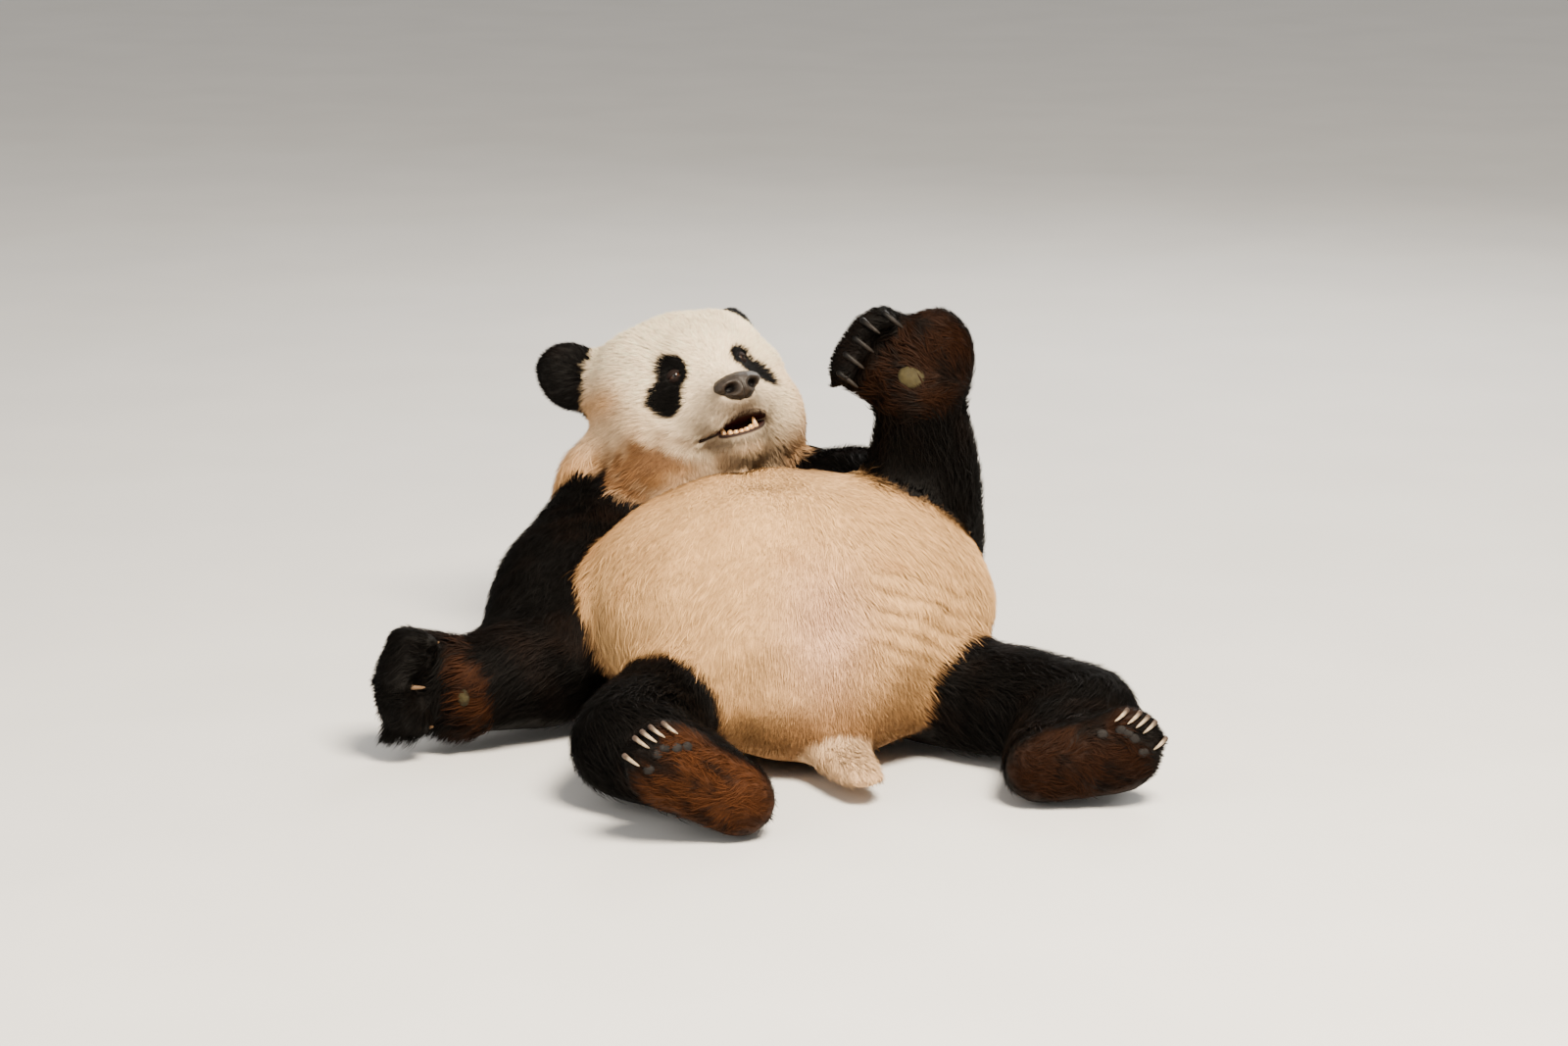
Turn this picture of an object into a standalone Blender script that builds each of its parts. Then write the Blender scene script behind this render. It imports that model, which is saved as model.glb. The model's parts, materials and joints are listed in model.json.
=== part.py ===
"""Giant panda lying back on the floor, life size, as one closed solid for each part of the body.

Metres, +Z up, -Y to the viewer, +X to the viewer's right, which is the panda's left side. The origin is
under the rump, on the flat that the panda rests on. Every solid reaches out to the tips of the coat.
"""

import math

import bmesh
import bpy
from mathutils import Matrix, Vector
from mathutils.bvhtree import BVHTree

# Coat-to-coat sizes of the whole animal.
HEAD_HALF_WIDTH = 0.165
BELLY_HALF_WIDTH = 0.300
FOOT_LENGTH = 0.215
FOOT_HALF_WIDTH = 0.066
TOE_RADIUS = 0.0165
HAND_HALF_WIDTH = 0.066
PALM_LENGTH = 0.100
EYE_SPACING = 0.112
EYE_RADIUS = 0.0120
EAR_RADIUS = 0.057
EAR_TURN = math.radians(28)
EAR_LEAN = math.radians(38)
NOSE_WIDTH = 0.086
TAIL_LENGTH = 0.12
CLAW_LENGTH = 0.038

# A toe's two bones and how far each bends. Then how far each toe turns from the foot's own direction, and
# how far all the claws of a foot turn together, in degrees.
TOE_BONES = (0.022, 0.018)
TOE_CURLS = (42, 80)
TOE_TURNS = (55, 38, 26, 14, -12)
CLAWS_TURN = 5

# A finger's three bones, its radius, and how far apart the fingers' roots stand as a share of the palm.
FINGER_BONES = (0.026, 0.026, 0.020)
FINGER_RADIUS = 0.0185
FINGER_SPREAD = 0.80

# How far apart neighbouring solids stay, and the bend under which two facets count as one.
GAP = 0.0005
NEARLY_FLAT = math.radians(0.5)

# Where the body lies: the trunk faces TRUNK_TURN to the viewer's right of -Y.
TRUNK_TURN = math.radians(18.4)
TRUNK_LEFT = Vector((math.cos(TRUNK_TURN), math.sin(TRUNK_TURN), 0))
TRUNK_FRONT = Vector((math.sin(TRUNK_TURN), -math.cos(TRUNK_TURN), 0))
UP = Vector((0, 0, 1))

# The head: turned to the viewer's right, lifted, and leaning with its left side up.
HEAD_CENTRE = Vector((-0.156, 0.465, 0.408))
HEAD_YAW = math.radians(23)
HEAD_PITCH = math.radians(20)
HEAD_ROLL = math.radians(10)

# Joints of the limbs.
RIGHT_SHOULDER = Vector((-0.280, 0.365, 0.205))
RIGHT_ELBOW = Vector((-0.365, 0.075, 0.100))
RIGHT_WRIST = Vector((-0.462, -0.010, 0.088))
LEFT_SHOULDER = Vector((0.085, 0.410, 0.240))
LEFT_ELBOW = Vector((0.186, 0.260, 0.222))
LEFT_WRIST = Vector((0.178, 0.155, 0.470))
RIGHT_HIP = Vector((-0.150, -0.030, 0.082))
RIGHT_KNEE = Vector((-0.235, -0.285, 0.085))
RIGHT_HEEL = Vector((-0.080, -0.445, 0.052))
LEFT_HIP = Vector((0.165, 0.035, 0.078))
LEFT_KNEE = Vector((0.400, -0.135, 0.078))
LEFT_HEEL = Vector((0.326, -0.292, 0.053))

COLOURS = {
    "white": (0.78, 0.68, 0.56),
    "cream": (0.60, 0.40, 0.25),
    "black": (0.012, 0.010, 0.009),
    "brown": (0.13, 0.050, 0.022),
    "horn": (0.66, 0.58, 0.44),
    "nose": (0.040, 0.036, 0.034),
    "eye": (0.020, 0.012, 0.008),
}


def head_axes():
    """The head's left, front and up directions, as the columns of a matrix."""
    front = Vector(
        (
            math.sin(HEAD_YAW) * math.cos(HEAD_PITCH),
            -math.cos(HEAD_YAW) * math.cos(HEAD_PITCH),
            math.sin(HEAD_PITCH),
        )
    )
    level_left = Vector((math.cos(HEAD_YAW), math.sin(HEAD_YAW), 0))
    left = Matrix.Rotation(HEAD_ROLL, 3, front) @ level_left
    return Matrix((left, front, front.cross(left))).transposed()


HEAD_AXES = head_axes()


def in_head(left, front, up):
    """A place on the head, from its centre."""
    return HEAD_CENTRE + HEAD_AXES @ Vector((left, front, up))


def axes_from(first, second):
    """A matrix whose columns are first, second made square to it, and the direction square to both."""
    first = first.normalized()
    third = first.cross(second).normalized()
    return Matrix((first, third.cross(first), third)).transposed()


def lump(centre, radii, axes=None):
    """The matrix that makes a ball of radius 1 an ellipsoid with these radii along the axes' columns."""
    turned = (axes or Matrix.Identity(3)).to_4x4()
    return Matrix.Translation(centre) @ turned @ Matrix.Diagonal((*radii, 1))


def row(stations, flat=1.0, flat_axis=UP, step=0.3):
    """Balls strung closely along stations of (place, radius). flat thins them along flat_axis."""
    lumps = []
    for (start, start_radius), (end, end_radius) in zip(stations, stations[1:]):
        distance = (end - start).length
        count = max(2, round(distance / (step * min(start_radius, end_radius))))
        axes = axes_from(flat_axis, end - start)
        for index in range(count + 1):
            share = index / count
            radius = start_radius + (end_radius - start_radius) * share
            lumps.append(lump(start.lerp(end, share), (radius * flat, radius, radius), axes))
    return lumps


def material(colour):
    """The one material of a colour name."""
    found = bpy.data.materials.get(colour)
    if found:
        return found
    made = bpy.data.materials.new(colour)
    made.use_nodes = True
    shader = made.node_tree.nodes["Principled BSDF"]
    shader.inputs["Base Color"].default_value = (*COLOURS[colour], 1)
    shader.inputs["Roughness"].default_value = 0.35 if colour in ("eye", "horn", "nose") else 0.9
    shader.inputs["Metallic"].default_value = 0
    return made


def new_object(name, bm, colour):
    """An object holding what bm holds, shaded smooth."""
    mesh = bpy.data.meshes.new(name)
    bm.to_mesh(mesh)
    bm.free()
    mesh.shade_smooth()
    obj = bpy.data.objects.new(name, mesh)
    bpy.context.scene.collection.objects.link(obj)
    mesh.materials.append(material(colour))
    return obj


def apply_modifiers(obj):
    """Makes the mesh of obj what its modifiers give."""
    bpy.context.view_layer.update()
    graph = bpy.context.evaluated_depsgraph_get()
    old = obj.data
    obj.data = bpy.data.meshes.new_from_object(obj.evaluated_get(graph))
    obj.data.name = obj.name
    obj.modifiers.clear()
    bpy.data.meshes.remove(old)


def fleshed(name, lumps, colour, triangles, voxel=0.009, smoothing=6):
    """One smooth closed body around the lumps, with about this many triangles."""
    bm = bmesh.new()
    for matrix in lumps:
        bmesh.ops.create_icosphere(bm, subdivisions=3, radius=1, matrix=matrix)
    obj = new_object(name, bm, colour)
    remesh = obj.modifiers.new("one skin", "REMESH")
    remesh.mode = "VOXEL"
    remesh.voxel_size = voxel
    smooth = obj.modifiers.new("smooth", "SMOOTH")
    smooth.iterations = smoothing
    apply_modifiers(obj)
    thin = obj.modifiers.new("fewer faces", "DECIMATE")
    thin.ratio = min(1, triangles / (2 * len(obj.data.polygons)))
    thin.use_collapse_triangulate = True
    apply_modifiers(obj)
    return obj


def keep_largest(obj):
    """Deletes every loose shell of obj but the one with the most room inside, and closes its small flaws."""
    bm = bmesh.new()
    bm.from_mesh(obj.data)
    bmesh.ops.remove_doubles(bm, verts=bm.verts, dist=0.00002)
    bmesh.ops.dissolve_degenerate(bm, edges=bm.edges, dist=0.00001)
    bmesh.ops.dissolve_limit(bm, angle_limit=NEARLY_FLAT, verts=bm.verts, edges=bm.edges)
    bmesh.ops.triangulate(bm, faces=bm.faces)
    left, shells = set(bm.verts), []
    while left:
        shell, front = set(), [left.pop()]
        while front:
            vert = front.pop()
            shell.add(vert)
            for edge in vert.link_edges:
                other = edge.other_vert(vert)
                if other in left:
                    left.discard(other)
                    front.append(other)
        shells.append(shell)

    def room(shell):
        faces = {face for vert in shell for face in vert.link_faces}
        return sum(face.calc_center_median().dot(face.normal) * face.calc_area() for face in faces)

    bm.normal_update()
    shells.sort(key=room)
    spare = [vert for shell in shells[:-1] for vert in shell]
    bmesh.ops.delete(bm, geom=spare, context="VERTS")
    bm.to_mesh(obj.data)
    bm.free()


def boxes_meet(first, second):
    """Whether the boxes round two objects come within the gap of each other."""
    spans = []
    for obj in (first, second):
        points = [vert.co for vert in obj.data.vertices]
        spans.append([(min(p[i] for p in points), max(p[i] for p in points)) for i in range(3)])
    return all(a[0] < b[1] + GAP and b[0] < a[1] + GAP for a, b in zip(*spans))


def boolean(obj, cutter, operation="DIFFERENCE"):
    cut = obj.modifiers.new("cut", "BOOLEAN")
    cut.operation = operation
    cut.solver = "EXACT"
    cut.object = cutter
    apply_modifiers(obj)


def loose_copy(other, share=0.3):
    """A plainer copy of other for cutting its neighbours, grown until it clears other by the gap."""
    cutter = bpy.data.objects.new("cutter", other.data.copy())
    bpy.context.scene.collection.objects.link(cutter)
    cutter.hide_render = True
    cutter.display_type = "WIRE"
    if len(other.data.polygons) > 200:
        plainer = cutter.modifiers.new("plainer", "DECIMATE")
        plainer.ratio = share
        apply_modifiers(cutter)
        cutter.hide_render = True
    bm = bmesh.new()
    bm.from_mesh(cutter.data)
    bm.normal_update()
    surface = BVHTree.FromBMesh(bm)
    proud = 0
    for vert in other.data.vertices:
        place, normal, _, distance = surface.find_nearest(vert.co)
        if (vert.co - place).dot(normal) > 0:
            proud = max(proud, distance)
    moves = [vert.normal * (GAP + 1.25 * proud) for vert in bm.verts]
    for vert, move in zip(bm.verts, moves):
        vert.co += move
    bm.to_mesh(cutter.data)
    bm.free()
    return cutter


def carve(obj, others):
    """Takes the room of each of the others out of obj, and the gap round it."""
    for other in others:
        if not boxes_meet(obj, other):
            continue
        cutter = loose_copy(other)
        boolean(obj, cutter)
        bpy.data.objects.remove(cutter)
        keep_largest(obj)


def flatten(obj):
    """Cuts off what would be under the floor, which leaves a flat there."""
    bm = bmesh.new()
    bm.from_mesh(obj.data)
    cut = bmesh.ops.bisect_plane(
        bm,
        geom=bm.verts[:] + bm.edges[:] + bm.faces[:],
        dist=0.00001,
        plane_co=(0, 0, 0),
        plane_no=(0, 0, 1),
        clear_inner=True,
    )
    fill_cut(bm, cut)
    bm.to_mesh(obj.data)
    bm.free()


def fill_cut(bm, cut):
    """Closes the openings that a cut by a plane left, with flat faces."""
    edges = [item for item in cut["geom_cut"] if isinstance(item, bmesh.types.BMEdge)]
    bmesh.ops.holes_fill(bm, edges=[edge for edge in edges if edge.is_boundary])
    bmesh.ops.triangulate(bm, faces=bm.faces)
    bmesh.ops.recalc_face_normals(bm, faces=bm.faces)


def divide(obj, place, normal, name, colour):
    """Parts obj at a plane. What lies ahead of the plane becomes a new object called name."""
    normal = normal.normalized()
    ahead = bmesh.new()
    ahead.from_mesh(obj.data)
    behind = ahead.copy()
    for bm, side in ((ahead, 1), (behind, -1)):
        cut = bmesh.ops.bisect_plane(
            bm,
            geom=bm.verts[:] + bm.edges[:] + bm.faces[:],
            dist=0.00001,
            plane_co=place + normal * side * GAP / 2,
            plane_no=normal * side,
            clear_inner=True,
        )
        fill_cut(bm, cut)
    behind.to_mesh(obj.data)
    behind.free()
    keep_largest(obj)
    made = new_object(name, ahead, colour)
    keep_largest(made)
    return made


def between(start, middle, end):
    """The normal of the plane that halves the bend at middle, pointing to end."""
    return (middle - start).normalized() + (end - middle).normalized()


def claw(name, root, direction, bend, length=CLAW_LENGTH):
    """A curved, pointed claw: it leaves root along direction and bends over towards bend."""
    direction, bend = direction.normalized(), bend.normalized()
    curve = bpy.data.curves.new(name, "CURVE")
    curve.dimensions = "3D"
    curve.bevel_depth = 0.14 * length
    curve.bevel_resolution = 0
    curve.use_fill_caps = True
    spline = curve.splines.new("POLY")
    steps = 4
    spline.points.add(steps)
    for index in range(steps + 1):
        share = index / steps
        angle = math.radians(62) * share
        place = root + length * (direction * math.sin(angle) + bend * (1 - math.cos(angle)))
        spline.points[index].co = (*place, 1)
        spline.points[index].radius = (1 - share) ** 0.6 + 0.06
    guide = bpy.data.objects.new(name + "_guide", curve)
    bpy.context.scene.collection.objects.link(guide)
    bpy.context.view_layer.update()
    graph = bpy.context.evaluated_depsgraph_get()
    bm = bmesh.new()
    bm.from_mesh(guide.evaluated_get(graph).to_mesh())
    bpy.data.objects.remove(guide)
    bmesh.ops.remove_doubles(bm, verts=bm.verts, dist=0.00002)
    bmesh.ops.triangulate(bm, faces=bm.faces)
    bmesh.ops.recalc_face_normals(bm, faces=bm.faces)
    return new_object(name, bm, "horn")


def turned(ahead, palm, degrees):
    """The direction that is this far from ahead towards palm, and the one square to it inside the bend."""
    angle = math.radians(degrees)
    pointing = ahead * math.cos(angle) + palm * math.sin(angle)
    inwards = palm * math.cos(angle) - ahead * math.sin(angle)
    return pointing, inwards


def digit(root, ahead, palm, lengths, curls, radius):
    """Lumps of a finger or toe that curls from ahead towards palm, then its tip and the way it points."""
    stations, place, bent = [(root, radius * 1.15)], root, 0
    for length, curl in zip(lengths, curls):
        bent += curl
        pointing, inwards = turned(ahead, palm, bent)
        place = place + length * pointing
        stations.append((place, radius))
    return row(stations, step=0.6), place, pointing, inwards


def hand(side, wrist, ahead, palm, curls, loosest, grip=1.15, fluff=1.0, out=0.0):
    """Lumps and claws of a hand that grips, with five fingers curled to the palm and one of them the loosest.

    grip is how much more the others curl. out is how far ahead of the fingers' tips the claws start. fluff
    is how much larger than the plain hand its coat stands.
    """
    ahead = ahead.normalized()
    axes = axes_from(ahead, palm)
    palm, across = axes.col[1], axes.col[2]
    length = PALM_LENGTH * fluff
    half = HAND_HALF_WIDTH * fluff
    lumps = [
        lump(wrist + ahead * length * 0.55, (length * 0.72, 0.036 * fluff, half), axes),
        lump(wrist + ahead * 0.02 + palm * 0.012, (0.045, 0.040, half * 0.9), axes),
    ]
    claws = []
    bones = [bone * fluff for bone in FINGER_BONES]
    for index in range(5):
        offset = (index - 2) / 2
        root = wrist + ahead * length * (1 - 0.12 * offset**2) + across * offset * half * FINGER_SPREAD
        tighter = 1 if index == loosest else grip
        bends = [bend * tighter for bend in curls]
        finger, tip, pointing, inwards = digit(root, ahead, palm, bones, bends, FINGER_RADIUS * fluff)
        lumps += finger
        claws.append(claw(f"{side}_hand_claw_{index + 1}", tip + ahead * out, pointing, inwards))
    return lumps, claws


def foot(side, heel, ahead, sole, crown, fan):
    """Lumps and claws of a foot. Its outer toe stands apart from the other four, on the side away from crown.

    fan is how far the toes turn to the crown as a group, in degrees. The claws lie side by side.
    """
    axes = axes_from(ahead, sole)
    ahead, sole, across = axes.col[0], axes.col[1], axes.col[2]
    if across.dot(crown) < 0:
        across = -across
    reach = FOOT_LENGTH - 2 * FOOT_HALF_WIDTH * 0.8
    ball = heel + ahead * reach
    stations = [
        (heel, FOOT_HALF_WIDTH * 0.84),
        (heel.lerp(ball, 0.5), FOOT_HALF_WIDTH * 0.92),
        (ball, FOOT_HALF_WIDTH * 0.98),
    ]
    lumps = row(stations, flat=0.72, flat_axis=sole)
    claws = []
    lead = Matrix.Rotation(math.radians(fan + CLAWS_TURN), 3, ahead.cross(across)) @ ahead
    for index, turn in enumerate(TOE_TURNS):
        angle = math.radians(turn + fan)
        spread = ahead * math.cos(angle) + across * math.sin(angle)
        root = ball + spread * FOOT_HALF_WIDTH * 0.62
        toe, tip, _, _ = digit(root, spread, sole, TOE_BONES, TOE_CURLS, TOE_RADIUS)
        lumps += toe
        base = tip + spread * TOE_RADIUS * 0.72
        pointing, inwards = turned(lead, sole, sum(TOE_CURLS))
        claws.append(claw(f"{side}_foot_claw_{index + 1}", base, pointing, inwards, CLAW_LENGTH * 0.9))
    return lumps, claws


def right_arm():
    """The right arm lies along the floor: shoulder, elbow on the floor, and a fist upright beside it."""
    ahead = Vector((-0.90, -0.30, 0.10))
    palm = Vector((0.42, -0.90, 0.05))
    wrist = RIGHT_WRIST + UP * 0.014
    fist, claws = hand("right", wrist, ahead, palm, (40, 60, 38), 2, grip=1.25, fluff=1.14)
    lumps = fist + row(
        [
            (RIGHT_SHOULDER, 0.118),
            (RIGHT_SHOULDER.lerp(RIGHT_ELBOW, 0.45) + Vector((-0.025, 0, 0)), 0.118),
            (RIGHT_ELBOW, 0.103),
            (RIGHT_ELBOW.lerp(RIGHT_WRIST, 0.6), 0.088),
            (RIGHT_WRIST, 0.070),
        ]
    )
    arm = fleshed("right_upper_arm", lumps, "black", 610, voxel=0.007, smoothing=4)
    flatten(arm)
    return arm, claws


def left_arm():
    """The left arm is raised: elbow beside the belly, forearm upright, palm to the viewer."""
    ahead = Vector((-0.78, -0.10, 0.62))
    palm = Vector((0.05, -1.0, 0.15))
    wrist = LEFT_WRIST + Vector((-0.005, 0, 0.02))
    fist, claws = hand("left", wrist, ahead, palm, (20, 50, 42), 3, out=0.010)
    lumps = fist + row(
        [
            (LEFT_SHOULDER, 0.120),
            (LEFT_SHOULDER.lerp(LEFT_ELBOW, 0.5), 0.108),
            (LEFT_ELBOW, 0.094),
            (LEFT_ELBOW.lerp(LEFT_WRIST, 0.5), 0.092),
            (LEFT_WRIST, 0.068),
        ]
    )
    lumps.append(lump(LEFT_WRIST + Vector((0.02, 0, 0.06)), (0.062, 0.045, 0.085)))
    arm = fleshed("left_upper_arm", lumps, "black", 610, voxel=0.007, smoothing=4)
    return arm, claws


def leg(side, hip, knee, heel, ahead, sole, fan):
    """One leg, bent outwards with its sole to the viewer."""
    toes, claws = foot(side, heel, ahead, sole, UP, fan)
    lumps = toes + row(
        [
            (hip, 0.095),
            (hip.lerp(knee, 0.55), 0.092),
            (knee, 0.086),
            (knee.lerp(heel - sole * 0.04, 0.55), 0.074),
            (heel - sole * 0.035, 0.055),
        ]
    )
    limb = fleshed(f"{side}_thigh", lumps, "black", 580, voxel=0.007, smoothing=4)
    flatten(limb)
    return limb, claws


def both_sides(left, front, up, radii):
    """A lump on each side of the head."""
    return [lump(in_head(side * left, front, up), radii, HEAD_AXES) for side in (-1, 1)]


def head():
    """Skull, cheeks, muzzle and chin, with the mouth open and its lower teeth standing in it."""
    lumps = [
        lump(in_head(0, -0.030, 0.045), (0.120, 0.135, 0.100), HEAD_AXES),
        lump(in_head(0, 0.045, 0.035), (0.085, 0.085, 0.080), HEAD_AXES),
        lump(in_head(0, -0.010, -0.045), (0.125, 0.115, 0.090), HEAD_AXES),
    ]
    lumps += both_sides(0.055, -0.030, 0.045, (0.085, 0.120, 0.092))
    lumps += both_sides(0.070, -0.020, 0.010, (0.085, 0.112, 0.090))
    lumps.append(lump(in_head(0.088, -0.020, 0.020), (0.072, 0.100, 0.058), HEAD_AXES))
    lumps += both_sides(0.080, -0.012, -0.058, (HEAD_HALF_WIDTH - 0.080, 0.105, 0.082))
    lumps += both_sides(0.078, 0.032, -0.048, (0.076, 0.078, 0.084))
    lumps += both_sides(0.042, 0.070, -0.030, (0.058, 0.062, 0.056))
    lumps += both_sides(0.026, 0.128, -0.046, (0.032, 0.036, 0.026))
    muzzle = [
        (in_head(0, 0.060, -0.002), 0.064),
        (in_head(0, 0.115, -0.012), 0.046),
        (in_head(0, 0.149, -0.018), 0.036),
    ]
    chin = [(in_head(0.004, 0.050, -0.080), 0.062), (in_head(0.010, 0.116, -0.083), 0.034)]
    lumps += row(muzzle, step=0.2) + row(chin, step=0.2)
    right_jowl = HEAD_CENTRE + Vector((-0.046, -0.078, -0.088))
    lumps.append(lump(right_jowl, (0.090, 0.092, 0.070)))
    body = fleshed("head", lumps, "white", 960, voxel=0.006, smoothing=6)
    bm = bmesh.new()
    mouth = lump(in_head(0.010, 0.140, -0.055), (0.044, 0.048, 0.0115), HEAD_AXES)
    bmesh.ops.create_icosphere(bm, subdivisions=2, radius=1, matrix=mouth)
    cutter = new_object("mouth", bm, "nose")
    boolean(body, cutter)
    bpy.data.objects.remove(cutter)
    for index in range(6):
        share = index / 5 * 2 - 1
        tall = 0.011 if abs(share) == 1 else 0.006
        place = in_head(0.010 + 0.024 * share, 0.147 - 0.012 * share**2, -0.066 + tall / 2)
        bm = bmesh.new()
        bmesh.ops.create_cone(
            bm, cap_ends=True, segments=5, radius1=0.0048, radius2=0.0018, depth=tall + 0.010,
            matrix=Matrix.Translation(place) @ HEAD_AXES.to_4x4(),
        )
        tooth = new_object("tooth", bm, "horn")
        boolean(body, tooth, "UNION")
        bpy.data.objects.remove(tooth)
    keep_largest(body)
    return body


def ears():
    """Round ears, set on the corners of the skull and opening to the front."""
    made = []
    for name, side in (("right_ear", -1), ("left_ear", 1)):
        outward = Matrix.Rotation(-EAR_TURN * side, 3, "Z")
        lean = Matrix.Rotation(EAR_LEAN * side, 3, "Y")
        axes = HEAD_AXES @ outward @ lean
        centre = in_head(-0.142, -0.088, 0.090) if side < 0 else in_head(0.129, -0.098, 0.077)
        root = centre.lerp(in_head(0, -0.080, 0.040), 0.25)
        lumps = [
            lump(centre, (EAR_RADIUS, EAR_RADIUS * 0.5, EAR_RADIUS * 1.16), axes),
            lump(root, (0.042, 0.030, 0.042), axes),
        ]
        ear = fleshed(name, lumps, "black", 120, voxel=0.005, smoothing=2)
        made.append(ear)
    return made


def eyes():
    made = []
    for name, side in (("right_eye", -1), ("left_eye", 1)):
        bm = bmesh.new()
        bmesh.ops.create_icosphere(
            bm, subdivisions=2, radius=EYE_RADIUS,
            matrix=Matrix.Translation(in_head(side * EYE_SPACING / 2 - 0.003, 0.099, 0.038)),
        )
        made.append(new_object(name, bm, "eye"))
    return made


def nose():
    """The bare nose pad at the muzzle's end."""
    half = NOSE_WIDTH / 2
    lumps = [
        lump(in_head(0.005, 0.164, -0.002), (half * 0.92, 0.023, 0.017), HEAD_AXES),
        lump(in_head(0.005, 0.172, -0.013), (half * 0.54, 0.017, 0.0155), HEAD_AXES),
    ]
    return fleshed("nose", lumps, "nose", 130, voxel=0.004, smoothing=2)


def neck():
    lumps = [
        lump(HEAD_CENTRE + Vector((0.002, 0.020, -0.113)), (0.165, 0.130, 0.120)),
        lump(HEAD_CENTRE + Vector((-0.086, 0.030, -0.122)), (0.112, 0.120, 0.103)),
        lump(HEAD_CENTRE + Vector((-0.118, -0.015, -0.136)), (0.108, 0.095, 0.103)),
    ]
    return fleshed("neck", lumps, "white", 190, voxel=0.010, smoothing=6)


def trunk():
    """Rump, belly and chest as one barrel that lies back, widest at the belly."""
    axes = Matrix((TRUNK_LEFT, TRUNK_FRONT, UP)).transposed()
    wide = BELLY_HALF_WIDTH
    sections = [
        (Vector((0.025, -0.100, 0.085)), (wide * 0.58, 0.095, 0.085)),
        (Vector((0.015, -0.010, 0.140)), (wide * 0.86, 0.16, 0.145)),
        (Vector((0.000, 0.080, 0.180)), (wide, 0.22, 0.190)),
        (Vector((-0.035, 0.170, 0.182)), (wide * 0.99, 0.22, 0.190)),
        (Vector((-0.075, 0.290, 0.158)), (wide * 0.90, 0.17, 0.160)),
        (Vector((-0.110, 0.390, 0.176)), (wide * 0.83, 0.14, 0.120)),
        (Vector((-0.130, 0.460, 0.210)), (wide * 0.72, 0.12, 0.100)),
    ]
    lumps = [lump(place, radii, axes) for place, radii in sections]
    body = fleshed("belly", lumps, "cream", 690, voxel=0.011, smoothing=8)
    flatten(body)
    return body


def tail():
    """A short broad tail, lying on the floor in front of the rump."""
    root = Vector((0.050, -0.165, 0.036))
    tip = root + TRUNK_FRONT * TAIL_LENGTH
    lumps = row([(root, 0.056), (tip, 0.042)], flat=0.6)
    made = fleshed("tail", lumps, "white", 120, voxel=0.006, smoothing=3)
    flatten(made)
    return made


def main():
    for obj in list(bpy.data.objects):
        bpy.data.objects.remove(obj)

    skull, ear_pair, eye_pair, nose_pad = head(), ears(), eyes(), nose()
    carve(skull, [*ear_pair, *eye_pair, nose_pad])

    fist_arm, right_hand_claws = right_arm()
    raised_arm, left_hand_claws = left_arm()
    right_sole, left_sole = Vector((0.16, -0.985, 0.05)), Vector((0.10, -0.99, 0.08))
    right_leg, right_foot_claws = leg(
        "right", RIGHT_HIP, RIGHT_KNEE, RIGHT_HEEL, Vector((-0.86, -0.12, 0.50)), right_sole, 0
    )
    left_leg, left_foot_claws = leg(
        "left", LEFT_HIP, LEFT_KNEE, LEFT_HEEL, Vector((0.96, 0.05, 0.20)), left_sole, 20
    )
    carve(fist_arm, [skull, *right_hand_claws])
    carve(raised_arm, [skull, *left_hand_claws])
    carve(right_leg, right_foot_claws)
    carve(left_leg, left_foot_claws)

    nape, rear = neck(), tail()
    limbs = [fist_arm, raised_arm, right_leg, left_leg]
    carve(nape, [skull, *ear_pair, *limbs])
    body = trunk()
    carve(rear, limbs)
    carve(body, [skull, *ear_pair, *limbs, nape, rear])

    divide(body, Vector((-0.08, 0.27, 0.2)), -TRUNK_FRONT, "chest", "black")
    forearm = divide(
        fist_arm, RIGHT_ELBOW, between(RIGHT_SHOULDER, RIGHT_ELBOW, RIGHT_WRIST), "right_forearm", "black"
    )
    divide(forearm, RIGHT_WRIST, RIGHT_WRIST - RIGHT_ELBOW, "right_hand", "brown")
    forearm = divide(
        raised_arm, LEFT_ELBOW, between(LEFT_SHOULDER, LEFT_ELBOW, LEFT_WRIST), "left_forearm", "black"
    )
    divide(forearm, LEFT_WRIST, LEFT_WRIST - LEFT_ELBOW, "left_hand", "brown")
    for limb, side, hip, knee, heel, sole in (
        (right_leg, "right", RIGHT_HIP, RIGHT_KNEE, RIGHT_HEEL, right_sole),
        (left_leg, "left", LEFT_HIP, LEFT_KNEE, LEFT_HEEL, left_sole),
    ):
        shin = divide(limb, knee, between(hip, knee, heel), f"{side}_shin", "black")
        divide(shin, heel - sole * 0.028, sole, f"{side}_foot", "brown")


main()
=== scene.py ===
"""The looks of a life-size still model of a giant panda that lies back and eats.

The file is laid out as an add-on: settings, one operator for each group of pieces, and one panel.
Run as a script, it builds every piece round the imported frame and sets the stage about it.
"""

import json
import math

import bmesh
import bpy
import numpy as np
from bpy.props import FloatProperty, FloatVectorProperty, IntProperty, PointerProperty
from mathutils import Matrix, Vector
from mathutils.bvhtree import BVHTree
from mathutils.kdtree import KDTree

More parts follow.
